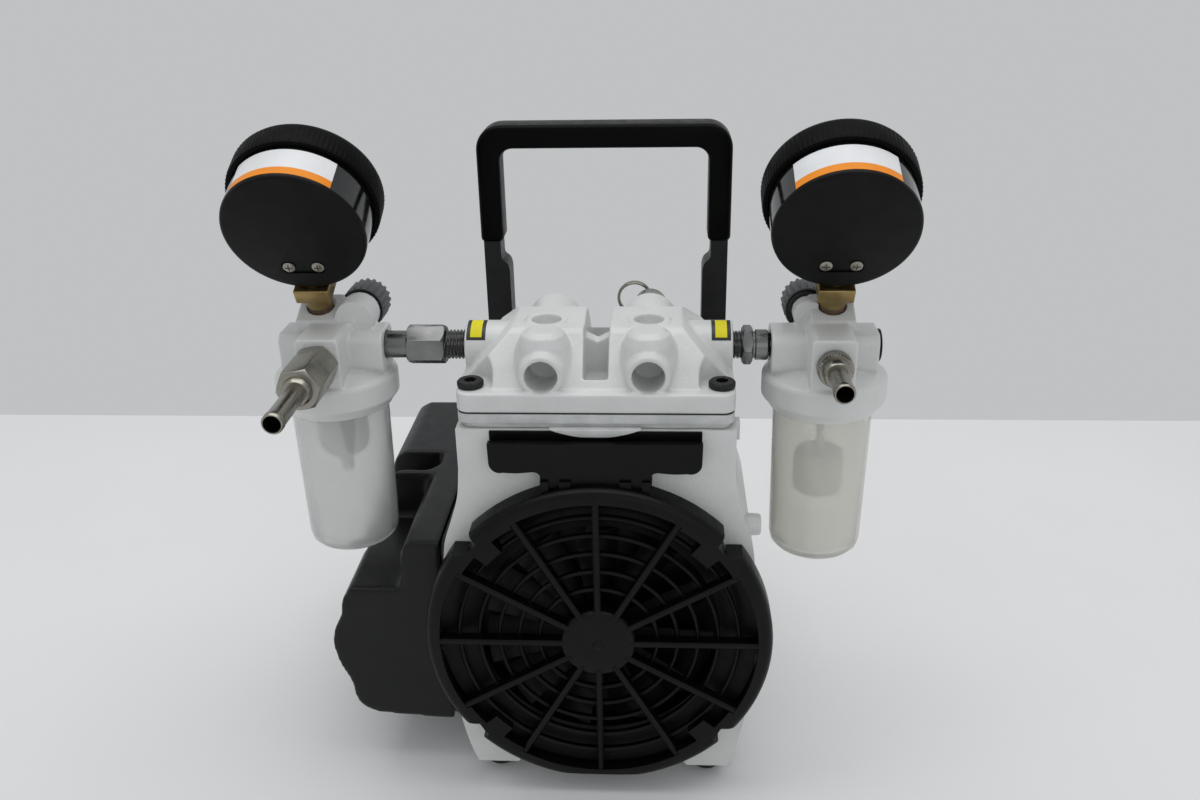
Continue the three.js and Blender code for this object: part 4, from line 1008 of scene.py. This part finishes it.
def hose_barb(side, place):
    y0 = -PORT_REACH
    shank = thread("y", y0 - 2.4, y0 + 10, 0, PORT_Z, 6.1, 1.41, 0.6)
    if side == "left":
        hex_end = y0 - 27
        tip = hex_end - 36 + 0.2
        barb = fuse(
            shank,
            hex_nut("y", hex_end - 3, y0 - 0.3, 0, PORT_Z, 17.6, 1.6, 8),
            turned("y", 0, PORT_Z, [(0, hex_end - 6), (5.4, hex_end - 6), (6.2, hex_end - 5),
                (6.8, hex_end - 2), (0, hex_end - 2)], 48),
            barbed_tube(tip, hex_end),
        )
    else:
        tip = y0 - 31.5 + 0.2
        barb = fuse(
            shank,
            turned("y", 0, PORT_Z, [(0, y0 - 7), (7.2, y0 - 7), (7.6, y0 - 6.4), (7.6, y0 - 1),
                (7.2, y0 - 0.3), (0, y0 - 0.3)], 80, lambda share, row: 0.2 * cos(share * 40 * tau)),
            turned("y", 0, PORT_Z, [(0, y0 - 12), (5.4, y0 - 12), (6.2, y0 - 11), (6.2, y0 - 6.5),
                (0, y0 - 6.5)], 48),
            barbed_tube(tip, y0 - 11),
        )
    barb = carve(barb, rod("y", tip - 1, y0 + 11, 0, PORT_Z, 3.7, 48))
    show(barb, f"hose_tail_{side}", "nickel", [f"hose_barb_{side}"], place=place, sharp=40)


def barbed_tube(tip, end):
    """The tube that the hose slips over, with a rolled lip at its tip."""
    return turned("y", 0, PORT_Z, [
        (0, tip), (4.1, tip), (4.5, tip + 0.5), (4.6, tip + 3.2), (4.3, tip + 4.6), (4.3, end - 3),
        (4.5, end), (0, end)], 56)


def nipple(side):
    facts = SIDES[side]
    away = facts["away"]
    near, far = away * (HEAD_HALF - 9), facts["x"] - away * (PORT_REACH - 9)
    low, high = sorted((near, far))
    y, z = CYLINDER_Y, PORT_Z
    if away > 0:
        pipe = fuse(
            thread("x", low, 65.4, y, z, 6.5, 1.41, 0.75),
            hex_nut("x", 64.8, 69.6, y, z, 15.8, 0.8),
            turned("x", y, z, [(0, 69), (6.2, 69), (6.2, 70.6), (7.0, 71), (7.0, 76), (6.4, 76.6),
                (0, 76.6)], 48),
            thread("x", 76, high, y, z, 6.0, 1.41, 0.6),
        )
    else:
        pipe = fuse(
            hex_nut("x", -88, -70.4, y, z, 16.6, 1.2, 30),
            thread("x", -71, high, y, z, 6.9, 1.6, 1.05),
            turned("x", y, z, [(0, low), (5.6, low), (6.3, low + 3), (6.3, -87.4), (0, -87.4)], 48),
        )
    pipe = carve(pipe, rod("x", low - 1, high + 1, y, z, 3.6, 32))
    node = "pipe_nipple_right" if away > 0 else "pipe_coupling_left"
    show(pipe, f"pipe_fitting_{side}", "zinc", [node])


# ---- dial gauges
def gauge(side):
    facts = SIDES[side]
    tilt = radians(GAUGE_TILT)
    centre = (facts["x"] + facts["gauge_x"], GAUGE_PORT_Y - STEM_REACH * sin(tilt),
              GAUGE_PORT_Z + STEM_REACH * cos(tilt))
    place = Matrix.Translation(centre) @ Matrix.Rotation(tilt, 4, "X")
    back = -5.6

    case = turned("y", 0, 0, [
        (0, back), (29.4, back), (30.4, back + 0.3), (31, back + 1), (GAUGE_RADIUS, back + 2),
        (GAUGE_RADIUS, 24), (29.6, 24), (29.6, back + 2), (0, back + 2)], 120)
    case = carve(
        case,
        rod("z", -40, -20, 0, 0, 4.4, 40),
        prism("y", back - 1, back + 0.9, rounded(-9.6, 9.6, -22, -15, 2.6)),
    )
    show(case, f"gauge_can_{side}", "matt_back", [f"gauge_case_{side}"], place=place)
    # the glossy skin round the side is a separate thin sleeve, open at the seam under the stem
    sleeve = patch("y", back + 2.2, 14.4, 0, 0, GAUGE_RADIUS - 0.02, 0.1, -84, 264, 110)
    show(sleeve, f"gauge_side_{side}", "gloss", place=place)
    start, end = (52, 137) if side == "right" else (48, 134)
    for name, paint, low, high in (
        ("label", "label", back + 6.6, 12.6), ("label_band", "orange", back + 2.4, back + 6.6),
    ):
        sheet = patch("y", low, high, 0, 0, GAUGE_RADIUS + 0.06, 0.12, start, end, 40)
        show(sheet, f"gauge_{name}_{side}", paint, place=place)
    screws = []
    for x in (-6.5, 6.5):
        head = turned("y", x, -18.5, [(0, back - 0.5), (1.6, back - 0.45), (2.7, back),
            (2.8, back + 1.4), (0, back + 1.4)], 32)
        cross = fuse(block(x - 1.7, x + 1.7, back - 1, back + 0.5, -18.8, -18.2),
            block(x - 0.3, x + 0.3, back - 1, back + 0.5, -20.2, -16.8))
        screws.append(carve(head, cross))
    show(gathered(*screws), f"gauge_back_screws_{side}", "nickel", place=place)

    rim = BEZEL_RADIUS
    bezel = turned("y", 0, 0, [
        (rim - 1.4, 14.6), (rim - 0.5, 15), (rim - 0.2, 16), (rim - 0.2, 25.6), (rim - 0.5, 26.8),
        (32.8, 28.2), (31.4, 28.6), (29.4, 28.4), (29.4, 26), (31.5, 25.6), (31.5, 14.6)], BEZEL_TEETH * 4,
        lambda share, row: 0.16 * cos(share * BEZEL_TEETH * tau) if row in (2, 3) else 0)
    show(bezel, f"gauge_rim_{side}", "bezel", [f"gauge_bezel_{side}"], place=place)

    lens = turned("y", 0, 0, [(0, 24.2), (31, 24.2), (31, 25.4), (20, 25.6), (0, 25.7)], 96)
    show(lens, f"gauge_window_{side}", "lens", [f"gauge_lens_{side}"], place=place, sharp=60)
    dial(side, place)

    stem = fuse(
        eased(block(-5, 5, -3.2, 6, -29, -12), 0.6),
        rod("z", -34, -27, 0, 0, 4, 40),
        turned("z", 0, 0, [(0, -44.6), (6, -44.6), (6, -41), (6.6, -39.6), (6.6, -37), (0, -37)], 48),
        eased(block(-8, 8, -7.2, 7.2, -39.2, -31.8), 0.6),
    )
    show(stem, f"gauge_socket_{side}", "brass", [f"gauge_stem_{side}"], place=place)
    seal = thread("z", -51, -43.4, 0, 0, 6.0, 1.41, 0.6)
    show(seal, f"gauge_thread_{side}", "sealant", place=place)


def dial(side, place):
    """White dial with ticks and plain numbers, and its pointer at the zero stop."""
    sign = 1 if side == "right" else -1
    face = turned("y", 0, 0, [(2.2, 12.6), (29.3, 12.6), (29.3, 13.4), (2.2, 13.4)], 96)
    show(face, f"gauge_dial_{side}", "dial", place=place)
    marks = []
    reach = 18.6
    facing = Matrix(((-1, 0, 0), (0, 0, 1), (0, 1, 0))).to_4x4()
    for k in range(DIAL_TICKS + 1):
        major = k % 5 == 0
        half, low = (0.35, 22.6) if major else (0.16, 24.6)
        tick = block(-half, half, 13.38, 13.5, low, 27.4)
        marks.append(moved(tick, turn=sign * (DIAL_ZERO - DIAL_SWEEP * k / DIAL_TICKS)))
    for k in range(DIAL_NUMBERS + 1):
        curve = bpy.data.curves.new("number", "FONT")
        curve.body = str(k * 5)
        curve.size = 4.6
        curve.align_x = "CENTER"
        curve.align_y = "CENTER"
        curve.extrude = 0.06
        text = linked("number", curve)
        angle = radians(sign * (DIAL_ZERO - DIAL_SWEEP * k / DIAL_NUMBERS))
        spot = Vector((reach * sin(angle), 13.44, reach * cos(angle)))
        mesh = final_mesh(text)
        mesh.transform(Matrix.Translation(spot) @ facing)
        bpy.data.objects.remove(text)
        bpy.data.curves.remove(curve)
        marks.append(linked("shape", mesh))
    show(gathered(*marks), f"gauge_marks_{side}", "ink", place=place)

    needle = prism("y", 15.2, 15.9, [(-1.7, -9), (1.7, -9), (1.1, -2), (0.3, 24), (-0.3, 24), (-1.1, -2)])
    needle = fuse(
        eased(needle, 0.15, 2),
        turned("y", 0, 0, [(0, 14.6), (3, 14.6), (3, 16.2), (2.4, 16.9), (0, 17)], 40),
        rod("y", 8, 15, 0, 0, 1.2, 20),
    )
    show(moved(needle, turn=sign * DIAL_ZERO), f"gauge_needle_{side}", "ink", [f"gauge_pointer_{side}"],
         body=f"pointer_{side}", place=place)


# ---- pieces whose CAD shape stays
KEPT = {
    "crankshaft_rotor": "steel", "eccentric_counterweight": "steel", "connecting_rod": "alloy",
    "piston_cup": "sinter", "front_bearing": "bearing", "rear_bearing": "bearing",
    # the cylinder sleeve is black partly as a hard-anodised finish and partly as painted shade, so its
    # lower front corner seen behind the fan guard reads dark
    "motor_stator": "laminate", "cylinder_sleeve": "dark_steel",
    "intake_reed": "steel", "exhaust_reed": "steel",
}

camera()
studio()
crankcase()
feet()
motor()
fan("front_fan_wheel", "cooling_fan_front", *FRONT_FAN)
fan("rear_fan_wheel", "cooling_fan_rear", *REAR_FAN)
fan_guard()
wavy_plate()
cylinder_head()
head_labels()
relief_valve()
handle()
side_box()
regulator("right")
regulator("left")
for node, paint in KEPT.items():
    frame["nodes"][node].data.materials.clear()
    frame["nodes"][node].data.materials.append(PAINT[paint])

bpy.context.view_layer.update()
